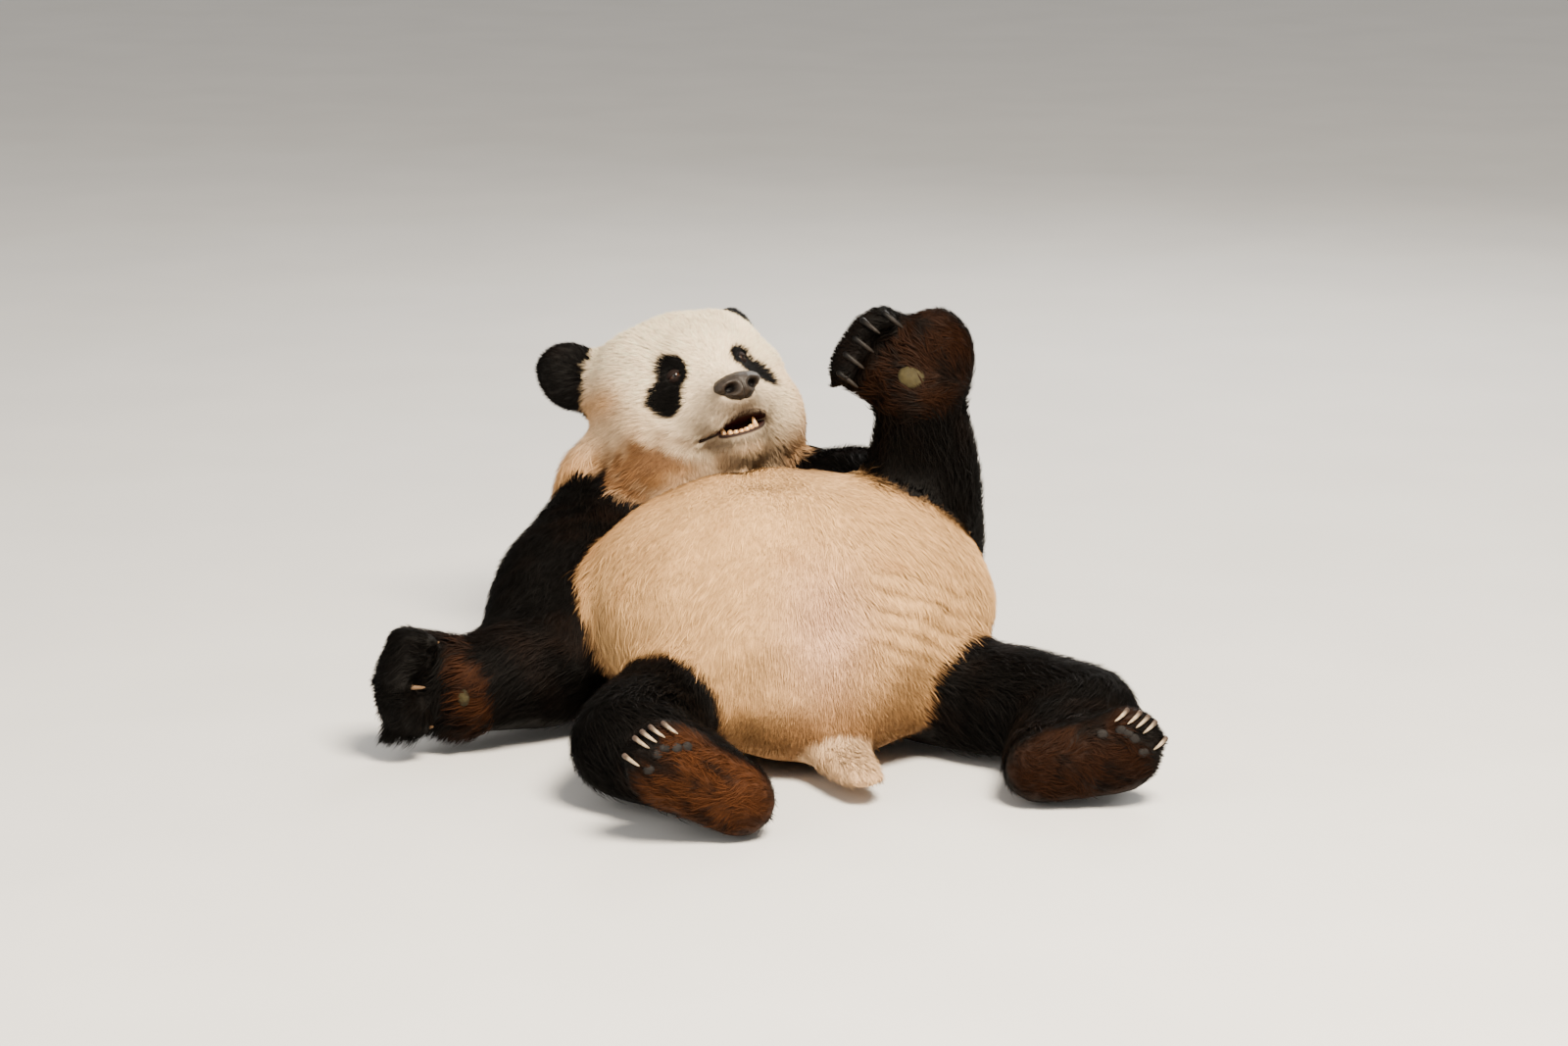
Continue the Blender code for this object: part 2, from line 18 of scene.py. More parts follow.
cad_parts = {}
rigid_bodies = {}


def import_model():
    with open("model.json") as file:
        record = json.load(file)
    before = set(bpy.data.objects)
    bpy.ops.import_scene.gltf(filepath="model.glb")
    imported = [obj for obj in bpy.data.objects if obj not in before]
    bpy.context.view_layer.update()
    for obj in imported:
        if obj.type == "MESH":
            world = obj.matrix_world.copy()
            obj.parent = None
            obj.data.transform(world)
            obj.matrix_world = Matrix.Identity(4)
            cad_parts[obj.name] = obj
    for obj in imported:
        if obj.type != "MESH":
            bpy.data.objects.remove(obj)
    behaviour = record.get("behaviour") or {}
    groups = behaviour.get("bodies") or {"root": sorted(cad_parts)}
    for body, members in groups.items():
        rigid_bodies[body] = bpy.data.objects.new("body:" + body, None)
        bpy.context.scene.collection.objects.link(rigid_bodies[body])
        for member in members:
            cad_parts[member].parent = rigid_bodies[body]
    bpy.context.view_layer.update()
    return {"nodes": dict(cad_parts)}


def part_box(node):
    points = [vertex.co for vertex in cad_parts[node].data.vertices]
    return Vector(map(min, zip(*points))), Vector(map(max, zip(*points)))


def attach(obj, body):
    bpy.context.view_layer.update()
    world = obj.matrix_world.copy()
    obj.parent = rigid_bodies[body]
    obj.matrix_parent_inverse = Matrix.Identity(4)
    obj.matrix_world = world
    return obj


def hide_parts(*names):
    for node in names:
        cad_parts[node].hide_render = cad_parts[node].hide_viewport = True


bl_info = {
    "name": "Giant panda looks",
    "version": (1, 0, 0),
    "blender": (4, 5, 0),
    "location": "View3D > Sidebar > Panda",
    "description": "Builds the skin, coat, face, claws and stage of a life-size giant panda model",
    "category": "Object",
}

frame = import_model()
NODES = frame["nodes"]
BODY = "root"


def row(*numbers):
    """A place or a direction as an array, rounded as the frame's numbers are."""
    return np.array(Vector(numbers))


# The trunk lies turned to one side. TRUNK_FRONT points from the chest to the feet.
TRUNK_TURN = math.radians(18.4)
TRUNK_LEFT = row(math.cos(TRUNK_TURN), math.sin(TRUNK_TURN), 0.0)
TRUNK_FRONT = row(math.sin(TRUNK_TURN), -math.cos(TRUNK_TURN), 0.0)
TRUNK_MIDDLE = row(-0.02, 0.15, 0.14)
CHEST_EDGE = row(-0.080, 0.270, 0.200)

# The head's place and turn.
HEAD_CENTRE = Vector((-0.156, 0.465, 0.408))
HEAD_YAW = math.radians(23.0)
HEAD_PITCH = math.radians(20.0)
HEAD_ROLL = math.radians(10.0)
HEAD_FRONT = Vector((
    math.sin(HEAD_YAW) * math.cos(HEAD_PITCH),
    -math.cos(HEAD_YAW) * math.cos(HEAD_PITCH),
    math.sin(HEAD_PITCH),
))
HEAD_LEVEL = Vector((math.cos(HEAD_YAW), math.sin(HEAD_YAW), 0.0))
HEAD_LEFT = Matrix.Rotation(HEAD_ROLL, 3, HEAD_FRONT) @ HEAD_LEVEL
HEAD_UP = HEAD_FRONT.cross(HEAD_LEFT)
HEAD_AXES = np.array([HEAD_LEFT, HEAD_FRONT, HEAD_UP])
HEAD_MATRIX = Matrix((HEAD_LEFT, HEAD_FRONT, HEAD_UP)).transposed()

# The bones that the lie of the coat follows: each limb's joints from the trunk outwards, tail and neck.
ARM, LEG = ("upper_arm", "forearm", "hand"), ("thigh", "shin", "foot")
LIMBS = (
    (
        "right", ARM,
        (-0.280, 0.365, 0.205), (-0.365, 0.075, 0.100), (-0.462, -0.010, 0.088), (-0.552, -0.040, 0.098),
    ),
    (
        "left", ARM,
        (0.085, 0.410, 0.240), (0.186, 0.260, 0.222), (0.178, 0.155, 0.470), (0.100, 0.145, 0.530),
    ),
    (
        "right", LEG,
        (-0.150, -0.030, 0.082), (-0.235, -0.285, 0.085), (-0.080, -0.445, 0.052), (-0.200, -0.462, 0.122),
    ),
    (
        "left", LEG,
        (0.165, 0.035, 0.078), (0.400, -0.135, 0.078), (0.326, -0.292, 0.053), (0.460, -0.285, 0.081),
    ),
)
BONES = {
    "tail": (Vector((0.050, -0.165, 0.036)), Vector((0.088, -0.279, 0.036))),
    "neck": (HEAD_CENTRE, Vector((-0.090, 0.330, 0.180))),
}
for _side, _parts, *_joints in LIMBS:
    for _part, _start, _end in zip(_parts, _joints, _joints[1:]):
        BONES[f"{_side}_{_part}"] = (Vector(_start), Vector(_end))

# The bare sides of feet and hands: the way each faces, how far from heel or wrist its red-brown reaches
# before the black, and how bright the red-brown is. For the feet that brightness is partly their own colour
# and partly painted light and shade: the right sole is painted lit, the left in shade.
BARE_SIDES = {
    "right_foot": (Vector((0.16, -0.985, 0.05)), 0.118, 0.70),
    "right_hand": (Vector((0.42, -0.90, 0.05)), 0.018, 0.36),
    "left_foot": (Vector((0.10, -0.99, 0.08)), 0.118, 0.20),
    "left_hand": (Vector((0.05, -1.0, 0.15)), 0.070, 0.16),
}

# The fist whose long hair hangs to the floor, and how far it hangs.
HANGING = "right_hand"
HANGING_LENGTH = 0.030

# The belly's navel, the groove that runs up from it, the pink about it, and the creases of the left half.
NAVEL = np.array([0.037, -0.135, 0.210])
NAVEL_WIDTH, NAVEL_DEPTH = 0.030, 0.008
GROOVE_WIDTH, GROOVE_DEPTH = 0.022, 0.0035
PINK_RADII = np.array((0.070, 0.110, 0.130))
FOLD_DEPTH = 0.0020
CREASE_APART, CREASE_DEPTH = 0.027, 0.0030

SIDES = ("right", "left")
EYES = {-1: "right_eye", 1: "left_eye"}

# The nodes that the skin stands for, and those that it is filled in behind.
FLESH = ["head", "neck", "chest", "belly", "tail"]
FLESH += [f"{side}_{part}" for side in SIDES for part in (*ARM, *LEG, "ear")]
FILLED = ["nose", "right_eye", "left_eye"]

# For each kind of part: how deep the coat is, how long a hair is, how many hairs stand on a square metre,
# and how likely a root is to carry a long lock as well.
COAT = {
    "head": (0.0065, 0.022, 300000, 0.0),
    "neck": (0.0100, 0.032, 165000, 0.06),
    "chest": (0.0090, 0.032, 125000, 0.02),
    "belly": (0.0065, 0.026, 172000, 0.010),
    "tail": (0.0080, 0.026, 170000, 0.0),
    "upper_arm": (0.0105, 0.034, 155000, 0.05),
    "forearm": (0.0100, 0.032, 155000, 0.055),
    "hand": (0.0055, 0.021, 229000, 0.08),
    "thigh": (0.0100, 0.031, 155000, 0.05),
    "shin": (0.0095, 0.029, 165000, 0.05),
    "foot": (0.0050, 0.016, 270000, 0.03),
    "ear": (0.0050, 0.021, 260000, 0.0),
}

# The columns of COAT.
DEPTH, LENGTH, DENSITY, LOCKS = range(4)

# The face, in the head's own directions: left, front and up from its centre.
MUZZLE_ROOT = np.array([0.0, 0.165, -0.006])
NOSE_MIDDLE = np.array([0.005, 0.166, -0.007])
FACE_FRONT = 0.060
MOUTH_MIDDLE = 0.006
MOUTH_HALF_WIDTH = 0.040
MOUTH_HALF_HEIGHT = 0.0120
MOUTH_HEIGHT = -0.0605
MOUTH_CORNER = -0.058
MOUTH_DEPTH = 0.030
THROAT = np.array([0.006, 0.050, -0.056])
LID_THICKNESS = 0.0013
LIDS_APART = (-15.0, 9.0)
LID_CORNERS = 120.0
EYE_TURN = math.radians(30.0)
EYE_LIFT, EYE_SLANT = 0.10, 0.22

# The ovals of the black patch about each eye, from the eye's middle: outwards, down, the half length, the
# half width, and how far the oval's long way leans outwards from straight down. PATCH_BLEND is how sharply
# two ovals run into one.
EYE_PATCHES = {
    -1: ((-0.0030, -0.0060, 0.0245, 0.0190, 0.0), (0.0150, 0.0260, 0.0350, 0.0205, 24.0)),
    1: ((-0.0080, -0.0020, 0.0155, 0.0215, 0.0), (0.0080, 0.0190, 0.0400, 0.0160, 42.0)),
}
PATCH_BLEND = 7.0

# Where the right shoulder's black climbs the side of the neck.
SHOULDER_CAP = np.array([-0.330, 0.350, 0.270])
SHOULDER_CAP_RADII = np.array([0.085, 0.075, 0.070])


class PandaSizes(bpy.types.PropertyGroup):
    """Sizes that a maker would change."""

    skin_grid: FloatProperty(
        name="Skin grid", description="Edge of the skin's mesh", default=0.0081, unit="LENGTH"
    )
    overlap: FloatProperty(
        name="Overlap", description="How far parts grow so that they join", default=0.0050, unit="LENGTH"
    )
    hair_width: FloatProperty(
        name="Hair width", description="Width of a hair at its root", default=0.0019, unit="LENGTH"
    )
    lock_width: FloatProperty(
        name="Lock width", description="Width of a long lock at its root", default=0.0024, unit="LENGTH"
    )
    eye_radius: FloatProperty(
        name="Eye radius", description="Radius of an eyeball", default=0.0112, unit="LENGTH"
    )
    eye_depth: FloatProperty(
        name="Eye depth", description="From an eye's middle to the face", default=0.0070, unit="LENGTH"
    )
    tooth_height: FloatProperty(
        name="Tooth height", description="Height of the side teeth", default=0.0160, unit="LENGTH"
    )
    quick_share: FloatProperty(
        name="Quick share", description="Share of the hairs made for a quick look", default=0.35
    )
    seed: IntProperty(name="Seed", description="Seed of the coat's chance", default=7)


class PandaColours(bpy.types.PropertyGroup):
    """Colours that a maker would change."""

    white: FloatVectorProperty(
        name="White", description="Crown and forehead", default=(0.94, 0.74, 0.50), subtype="COLOR"
    )
    cream: FloatVectorProperty(
        name="Cream", description="Belly", default=(0.60, 0.345, 0.145), subtype="COLOR"
    )
    tan: FloatVectorProperty(
        name="Tan", description="Low cheeks and neck", default=(0.44, 0.225, 0.085), subtype="COLOR"
    )
    brown: FloatVectorProperty(
        name="Brown", description="Throat", default=(0.125, 0.052, 0.017), subtype="COLOR"
    )
    red_brown: FloatVectorProperty(
        name="Red-brown", description="Soles and palms", default=(0.078, 0.026, 0.008), subtype="COLOR"
    )
    stain: FloatVectorProperty(
        name="Stain", description="Round the mouth", default=(0.080, 0.054, 0.036), subtype="COLOR"
    )
    black: FloatVectorProperty(
        name="Black", description="Limbs", default=(0.0022, 0.0018, 0.0015), subtype="COLOR"
    )
    pink: FloatVectorProperty(
        name="Pink", description="Thin belly fur", default=(0.66, 0.38, 0.235), subtype="COLOR"
    )
    lid: FloatVectorProperty(
        name="Lid", description="Eyelids", default=(0.010, 0.0055, 0.0045), subtype="COLOR"
    )
    pad: FloatVectorProperty(
        name="Pad", description="Bare wrist pads", default=(0.033, 0.026, 0.0095), subtype="COLOR"
    )
    toe: FloatVectorProperty(
        name="Toe pad", description="Bare toe pads", default=(0.011, 0.0095, 0.0090), subtype="COLOR"
    )
    lip: FloatVectorProperty(
        name="Lip", description="Lips", default=(0.030, 0.017, 0.014), subtype="COLOR"
    )
    mouth: FloatVectorProperty(
        name="Mouth", description="Inside the mouth", default=(0.050, 0.010, 0.008), subtype="COLOR"
    )


class PandaView(bpy.types.PropertyGroup):
    """The camera's place."""

    distance: FloatProperty(
        name="Distance", description="From camera to model", default=6.13, unit="LENGTH"
    )
    elevation: FloatProperty(
        name="Elevation", description="Camera above the horizon", default=math.radians(13.0), unit="ROTATION"
    )
    lens: FloatProperty(name="Lens", description="Focal length in millimetres", default=100.0)


# -------- helpers --------


def kind_of(node):
    """The row of COAT for a node: its name without its side."""
    return node.removeprefix("right_").removeprefix("left_")


def owned(owner, *names):
    """True for points on these nodes, or on nodes of these kinds."""
    return np.array([node in names or kind_of(node) in names for node in FLESH])[owner]


def coat_value(column, owner):
    """A column of COAT for each point, by the part that it lies on."""
    return np.array([COAT[kind_of(node)][column] for node in FLESH])[owner]


def unit(rows):
    """Rows of an array at length one."""
    return rows / np.maximum(np.linalg.norm(rows, axis=1, keepdims=True), 1e-9)


def step(low, high, values):
    """A smooth rise from 0 at low to 1 at high."""
    t = np.clip((values - low) / (high - low), 0.0, 1.0)
    return t * t * (3.0 - 2.0 * t)


def bump_of(values, width):
    """A smooth hill of height 1 about zero."""
    return np.exp(-((values / width) ** 2))


def rows_of(colour, count):
    """The same colour in each of many rows."""
    return np.tile(np.array(colour), (count, 1))


def mixed(colours, other, share):
    """Rows of colours moved towards another colour by a share for each row."""
    return colours + (np.asarray(other) - colours) * share[:, None]


def to_head(points):
    """Points of the frame in the head's own directions."""
    return (points - np.array(HEAD_CENTRE)) @ HEAD_AXES.T


def from_head(left, front, up):
    """A point given in the head's own directions, in the frame."""
    return HEAD_CENTRE + HEAD_LEFT * left + HEAD_FRONT * front + HEAD_UP * up


def ripple(points, scale, seed):
    """A smooth value between -1 and 1 that wanders over space, the same each run."""
    chance = np.random.default_rng(seed)
    total = np.zeros(len(points))
    for _ in range(6):
        wave = chance.normal(size=3)
        wave *= chance.uniform(0.6, 1.6) * 2.0 * math.pi / (scale * np.linalg.norm(wave))
        total += np.sin(points @ wave + chance.uniform(0.0, 2.0 * math.pi))
    return total / 3.0


def linked(name, data):
    """A new object of this mesh, light or camera, in the scene."""
    obj = bpy.data.objects.new(name, data)
    bpy.context.scene.collection.objects.link(obj)
    return obj


def finished(name, bm, material):
    """A piece made of this bmesh, with its faces outwards, riding on the body."""
    bmesh.ops.recalc_face_normals(bm, faces=bm.faces)
    mesh = bpy.data.meshes.new(name)
    bm.to_mesh(mesh)
    bm.free()
    mesh.materials.append(material)
    mesh.polygons.foreach_set("use_smooth", [True] * len(mesh.polygons))
    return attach(linked(name, mesh), BODY)


def rounded(piece):
    """Rounds a piece by one level of subdivision."""
    rounding = piece.modifiers.new("rounded", "SUBSURF")
    rounding.levels = 1
    rounding.render_levels = 1


def welded_copy(node):
    """A bmesh of a node's solid, with its loose triangles joined."""
    bm = bmesh.new()
    bm.from_mesh(NODES[node].data)
    bmesh.ops.remove_doubles(bm, verts=bm.verts, dist=1e-5)
    bm.normal_update()
    return bm


def pour(source, target):
    """Adds the shell of one bmesh to another, and frees the first."""
    mesh = bpy.data.meshes.new("poured")
    source.to_mesh(mesh)
    source.free()
    target.from_mesh(mesh)
    bpy.data.meshes.remove(mesh)


def smooth(bm, verts, factor, rounds=1):
    """Smooths these vertices several times."""
    for _ in range(rounds):
        bmesh.ops.smooth_vert(
            bm, verts=verts, factor=factor, use_axis_x=True, use_axis_y=True, use_axis_z=True
        )


def add_ball(bm, place, radii, turn, rings=3):
    """Adds an egg of these radii, turned by a matrix and put at its place."""
    made = bmesh.ops.create_icosphere(bm, subdivisions=rings, radius=1.0)["verts"]
    shape = turn.to_4x4() @ Matrix.Diagonal((*radii, 1.0))
    bmesh.ops.transform(bm, matrix=Matrix.Translation(place) @ shape, verts=made)
    return made


def voxel_copy(bm, grid):
    """A new bmesh of the closed skin round all of a bmesh's shells."""
    mesh = bpy.data.meshes.new("voxel_source")
    bm.to_mesh(mesh)
    bm.free()
    source = linked("voxel_source", mesh)
    remesh = source.modifiers.new("one_shell", "REMESH")
    remesh.mode = "VOXEL"
    remesh.voxel_size = grid
    made = bmesh.new()
    made.from_object(source, bpy.context.evaluated_depsgraph_get())
    bpy.data.objects.remove(source)
    bpy.data.meshes.remove(mesh)
    return made


def points_of(bm):
    """The places and the normals of a bmesh's vertices, as two arrays."""
    bm.normal_update()
    return np.array([v.co for v in bm.verts]), np.array([v.normal for v in bm.verts])


def move_to(bm, points):
    """Sets the places of a bmesh's vertices."""
    for vertex, point in zip(bm.verts, points):
        vertex.co = point
    bm.normal_update()


def ends_of(bm):
    """The two vertex numbers of each edge."""
    bm.verts.index_update()
    return np.array([(e.verts[0].index, e.verts[1].index) for e in bm.edges])


def spread(ends, values, rounds):
    """Values averaged over neighbouring vertices, several times."""
    count = len(values)
    ties = np.bincount(ends.ravel(), minlength=count).astype(float)
    values = values.reshape(count, -1).astype(float)
    for _ in range(rounds):
        total = np.zeros_like(values)
        for column in range(values.shape[1]):
            total[:, column] = np.bincount(ends[:, 0], values[ends[:, 1], column], count)
            total[:, column] += np.bincount(ends[:, 1], values[ends[:, 0], column], count)
        values = 0.5 * values + 0.5 * total / np.maximum(ties, 1.0)[:, None]
    return values


# -------- regions --------


class Regions:
    """Tells which node of the frame is nearest to a point."""

    def __init__(self):
        points, faces, self.owner = [], [], []
        for index, node in enumerate(FLESH + FILLED):
            bm = welded_copy(node)
            start = len(points)
            points += [v.co.copy() for v in bm.verts]
            faces += [[start + v.index for v in f.verts] for f in bm.faces]
            self.owner += [index if node in FLESH else FLESH.index("head")] * len(bm.faces)
            bm.free()
        self.tree = BVHTree.FromPolygons(points, faces)

    def of(self, points):
        """The index in FLESH for each point."""
        found = self.tree.find_nearest
        return np.array([self.owner[found(Vector(p))[2]] for p in points])


# How far the coat sinks from its own direction by its weight, and how far the face's sweeps back.
DROOP = {"head": 0.20, "hand": 0.25, "foot": 0.25, "belly": 0.40, "chest": 0.40}
USUAL_DROOP = 0.35
FACE_SWEEP = 0.35

# How deep in the head the ears' hair starts from.
EAR_ROOT = 0.045

# The trunk's hair parts along the middle: how sharply, how far to the sides, and how it hangs on the flanks.
PARTING_SHARPNESS, PARTING_SPREAD = 5.5, 0.9
FLANK_DROOP, TRUNK_HALF_WIDTH = 1.6, 0.30

# The fist's hair hangs straighter down from the first of these heights to the second.
FIST_DROOP, FIST_HEIGHTS = 1.1, (0.125, 0.050)


def lie_of_coat(points, regions):
    """The way the coat lies at each point, before it is laid along the skin."""
    lie = np.zeros_like(points)
    for index, node in enumerate(FLESH):
        chosen = regions == index
        here = points[chosen]
        kind = kind_of(node)
        if node == "head":
            away = unit(to_head(here) - MUZZLE_ROOT)
            away[:, 1] -= FACE_SWEEP
            flow = unit(away) @ HEAD_AXES
            flow[:, 2] -= DROOP[kind]
        elif kind == "ear":
            root = np.array(sum(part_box(node), Vector()) / 2.0)
            inward = unit((np.array(HEAD_CENTRE) - root)[None, :])[0]
            flow = unit(here - (root + inward * EAR_ROOT))
        elif node in ("belly", "chest"):
            sideways = (here - TRUNK_MIDDLE) @ TRUNK_LEFT
            flow = np.tile(TRUNK_FRONT, (len(here), 1))
            flow += np.outer(np.tanh(sideways * PARTING_SHARPNESS) * PARTING_SPREAD, TRUNK_LEFT)
            flow[:, 2] -= DROOP[kind] + FLANK_DROOP * (sideways / TRUNK_HALF_WIDTH) ** 2
        else:
            start, end = BONES[node]
            flow = np.tile(np.array((end - start).normalized()), (len(here), 1))
            flow[:, 2] -= DROOP.get(kind, USUAL_DROOP)
            if node == HANGING:
                flow[:, 2] -= FIST_DROOP * step(*FIST_HEIGHTS, here[:, 2])
        lie[chosen] = flow
    return unit(lie)


def mouth_gap(face):
    """How far each point of the face lies above or below the mouth's middle line.

    Gives too how far the mouth is open there, and the height of the line.
    """
    left, front, up = face.T
    across = (left - MOUTH_MIDDLE) / MOUTH_HALF_WIDTH
    middle = MOUTH_HEIGHT - 0.0015 * across**2 + 0.0010 * across
    open_by = MOUTH_HALF_HEIGHT * np.sqrt(np.clip(1.0 - across**2, 0.0, 1.0))
    reached = (np.abs(across) < 1.0) | ((left < MOUTH_MIDDLE) & (left > MOUTH_CORNER))
    return np.where((front > 0.045) & reached, np.abs(up - middle), 1.0), open_by, middle


def eye_frame(side):
    """An eye's outward, sideways and upward directions in the frame. Sideways runs along the lids."""
    turn = EYE_TURN * side
    out = (HEAD_FRONT * math.cos(turn) + HEAD_LEFT * math.sin(turn) + HEAD_UP * EYE_LIFT).normalized()
    slant = (HEAD_LEFT * math.cos(turn) - HEAD_FRONT * math.sin(turn)) * side - HEAD_UP * EYE_SLANT
    along = (slant - out * slant.dot(out)).normalized()
    return out, along, out.cross(along) * side


def eye_place(side):
    """Where the frame has an eye's middle."""
    low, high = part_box(EYES[side])
    return (low + high) / 2.0


def eye_in_head(side):
    """An eye's middle in the head's own directions."""
    return to_head(np.array([eye_place(side)]))[0]


def near_eyes(face, radius):
    """True for points of the face within this radius of an eye."""
    places = to_head(np.array([eye_place(side) for side in EYES]))
    return (np.linalg.norm(face[:, None, :] - places[None, :, :], axis=2) < radius).any(axis=1)


# -------- markings --------


def eye_patch(face, side, points):
    """How black the coat is for the comma about one eye."""
    eye = eye_in_head(side)
    out_by = (face[:, 0] - eye[0]) * side
    down_by = eye[2] - face[:, 2]
    total = np.zeros(len(face))
    for middle_out, middle_down, long, wide, lean in EYE_PATCHES[side]:
        turn = math.radians(lean)
        off_out, off_down = out_by - middle_out, down_by - middle_down
        along = off_down * math.cos(turn) + off_out * math.sin(turn)
        across = off_out * math.cos(turn) - off_down * math.sin(turn)
        total += np.exp(-PATCH_BLEND * np.hypot(along / long, across / wide))
    near = -np.log(np.maximum(total, 1e-12)) / PATCH_BLEND
    near += ripple(points, 0.030, 11) * 0.05
    return (1.0 - step(0.90, 1.08, near)) * step(0.02, 0.05, face[:, 1])


def belly_fur(points, colours, shares, wander):
    """The belly: cream, pink about the navel, and browner towards floor, chest and black limbs."""
    low = 1.0 - step(0.055, 0.175, points[:, 2])
    navel = np.linalg.norm((points - NAVEL) / PINK_RADII, axis=1)
    by_chest = 1.0 - step(0.0, 0.15, (points - CHEST_EDGE) @ TRUNK_FRONT)
    by_limbs = 1.0 - step(0.50, 0.95, shares[:, 2])
    belly = rows_of(colours.cream, len(points))
    for tint, share in (
        (colours.tan, step(0.35, 1.1, wander) * 0.45),
        (colours.pink, bump_of(navel, 0.9) * 0.85),
        (colours.brown, low * 0.75),
        (colours.tan, by_chest * 0.85),
        (colours.brown, by_limbs * 0.55),
    ):
        belly = mixed(belly, tint, share)
    return belly


def pale_fur(points, colours, shares, wander, edge):
    """Head, neck and tail: white, with tan cheeks, brown jowls and a stain round the mouth."""
    face = to_head(points)
    left, front, up = face.T
    beside = np.abs(left)
    cheek = step(0.035, -0.060, up - 0.10 * (beside - 0.10)) * step(0.115, 0.075, front)
    cheek *= step(0.055, 0.100, beside)
    by_floor = step(0.110, 0.050, points[:, 2])
    by_ear = bump_of(np.hypot((left + 0.140) / 0.024, (up - 0.035) / 0.040), 1.0)
    jowl = step(-0.045, -0.105, up + edge * 0.12) * step(0.130, 0.100, front)
    # The right jowl is darker partly in its own brown fur and partly by painted shade on the side turned
    # from the light.
    brown_and_shaded_jowl = np.hypot((left + 0.130) / 0.056, (up + 0.072) / 0.044) + edge * 2.0
    brown_and_shaded_jowl = 1.0 - step(0.45, 1.35, brown_and_shaded_jowl)
    mouth = bump_of(np.hypot((left - MOUTH_MIDDLE) / 1.3, up - MOUTH_HEIGHT - 0.013), 0.046)
    mouth = mouth * step(0.09, 0.13, front)
    muzzle = bump_of(np.hypot(left + 0.045, (up + 0.030) * 1.3), 0.034) * step(0.09, 0.12, front)
    chin = step(-0.076, -0.094, up) * step(0.08, 0.12, front)
    neck = shares[:, 3] * step(0.39, 0.32, points[:, 2]) * step(0.03, -0.05, front)
    pale = rows_of(colours.white, len(points))
    for tint, share in (
        (colours.tan, np.clip(cheek * 0.72 + step(0.4, 1.2, wander) * 0.10, 0.0, 1.0)),
        (colours.tan, by_floor * 0.45),
        (colours.tan, by_ear * 0.85),
        (colours.brown, jowl * 0.66),
        (colours.brown, brown_and_shaded_jowl * 0.92),
        (colours.stain, mouth * 0.95),
        (colours.stain, muzzle * 0.45),
        (colours.tan, chin * 0.50),
        (colours.tan, neck * (0.45 + 0.35 * step(-0.03, -0.09, left))),
    ):
        pale = mixed(pale, tint, share)
    shoulder = np.linalg.norm((points - SHOULDER_CAP) / SHOULDER_CAP_RADII, axis=1)
    return mixed(pale, colours.black, 1.0 - step(0.93, 1.08, shoulder + edge * 0.8))


def hand_and_foot_fur(points, normals, colours, dark, edge):
    """Hands and feet: the limbs' black, with a mottled red-brown on the bare sides."""
    mottle = ripple(points, 0.050, 13) * 0.6 + ripple(points, 0.020, 15) * 0.4
    for node, (way, reach, tone) in BARE_SIDES.items():
        start, end = BONES[node]
        off = points - np.array(start)
        along = off @ np.array((end - start).normalized())
        facing = normals @ np.array(way.normalized()) + edge * 2.0 + mottle * 0.16
        bare = step(0.05, 0.75, facing) * step(reach + 0.030, reach - 0.005, along + mottle * 0.012)
        bare *= (np.linalg.norm(off, axis=1) < 0.26) * (1.0 - 0.80 * step(-0.05, 0.75, mottle))
        # For the feet the tone is partly painted light and shade: the right sole is painted lit, the left in
        # shade.
        dark = mixed(dark, np.array(colours.red_brown) * tone, bare)
    return dark


def markings(points, shares, normals):
    """The colour of skin and coat at each point.

    Shares holds how much of it is black, hand or foot, belly, and pale.
    """
    colours = bpy.context.scene.panda_colours
    wander = ripple(points, 0.22, 3) * 0.5 + ripple(points, 0.07, 5) * 0.5
    edge = ripple(points, 0.045, 9) * 0.10
    dark = rows_of(colours.black, len(points))
    dark = mixed(dark, colours.red_brown, np.clip(wander * 0.04, 0.0, 0.06))
    ends = hand_and_foot_fur(points, normals, colours, dark, edge)
    belly = belly_fur(points, colours, shares, wander)
    pale = pale_fur(points, colours, shares, wander, edge)
    share = step(0.30, 0.70, shares + edge[:, None])
    share = share / np.maximum(share.sum(axis=1, keepdims=True), 1e-6)
    colour = dark * share[:, :1] + ends * share[:, 1:2]
    colour = colour + belly * share[:, 2:3] + pale * share[:, 3:4]
    face = to_head(points)
    for side in EYES:
        colour = mixed(colour, colours.black, eye_patch(face, side, points) * (shares[:, 3] > 0.3))
    return colour


# -------- the skin --------


def on_face(face):
    """Where the skin's mesh is made finer: the face."""
    return (face[:, 1] > 0.02) & (np.linalg.norm(face, axis=1) < 0.26)


def on_muzzle(face):
    """Where it is made finer again: the muzzle."""
    left, front, up = face.T
    return (front > 0.075) & (np.abs(left) < 0.085) & (np.abs(up + 0.02) < 0.10)


def by_openings(face):
    """Where it is finest: about the eyes and the mouth."""
    return near_eyes(face, 0.024) | ((mouth_gap(face)[0] < 0.016) & (face[:, 1] > 0.09))


# The chin under the open mouth: its middle in the head's directions, and its radii.
CHIN = (0.011, 0.112, -0.058)
CHIN_RADII = (0.045, 0.045, 0.020)

# The hollows that the eyes and the nose lie in, and those of the ears: width or radii, then depth.
SOCKET_WIDTH, SOCKET_DEPTH = 0.0135, 0.0075
NOSE_BED_RADII, NOSE_BED_DEPTH = np.array([0.036, 0.040, 0.024]), 0.015
EAR_WIDTH, EAR_DEPTH = 0.028, 0.012

# The crease along the mouth and the fold under the nose, as width and depth, and the lips' roll beside the
# crease, as distance, width and height.
MOUTH_CREASE = (0.0028, 0.0045)
NOSE_FOLD = (0.0028, 0.0022)
LIP_ROLL = (0.0045, 0.0040, 0.0022)

# How often all of the skin is smoothed, and all but hands, feet, ears and head on top of that. Then how much
# shallower the coat is on the muzzle.
FINE_ROUNDS, BODY_ROUNDS = 4, 22
MUZZLE_SHALLOWER = 0.6

# The lids reach this much further along the eye than a ball does.
LID_STRETCH = 1.22


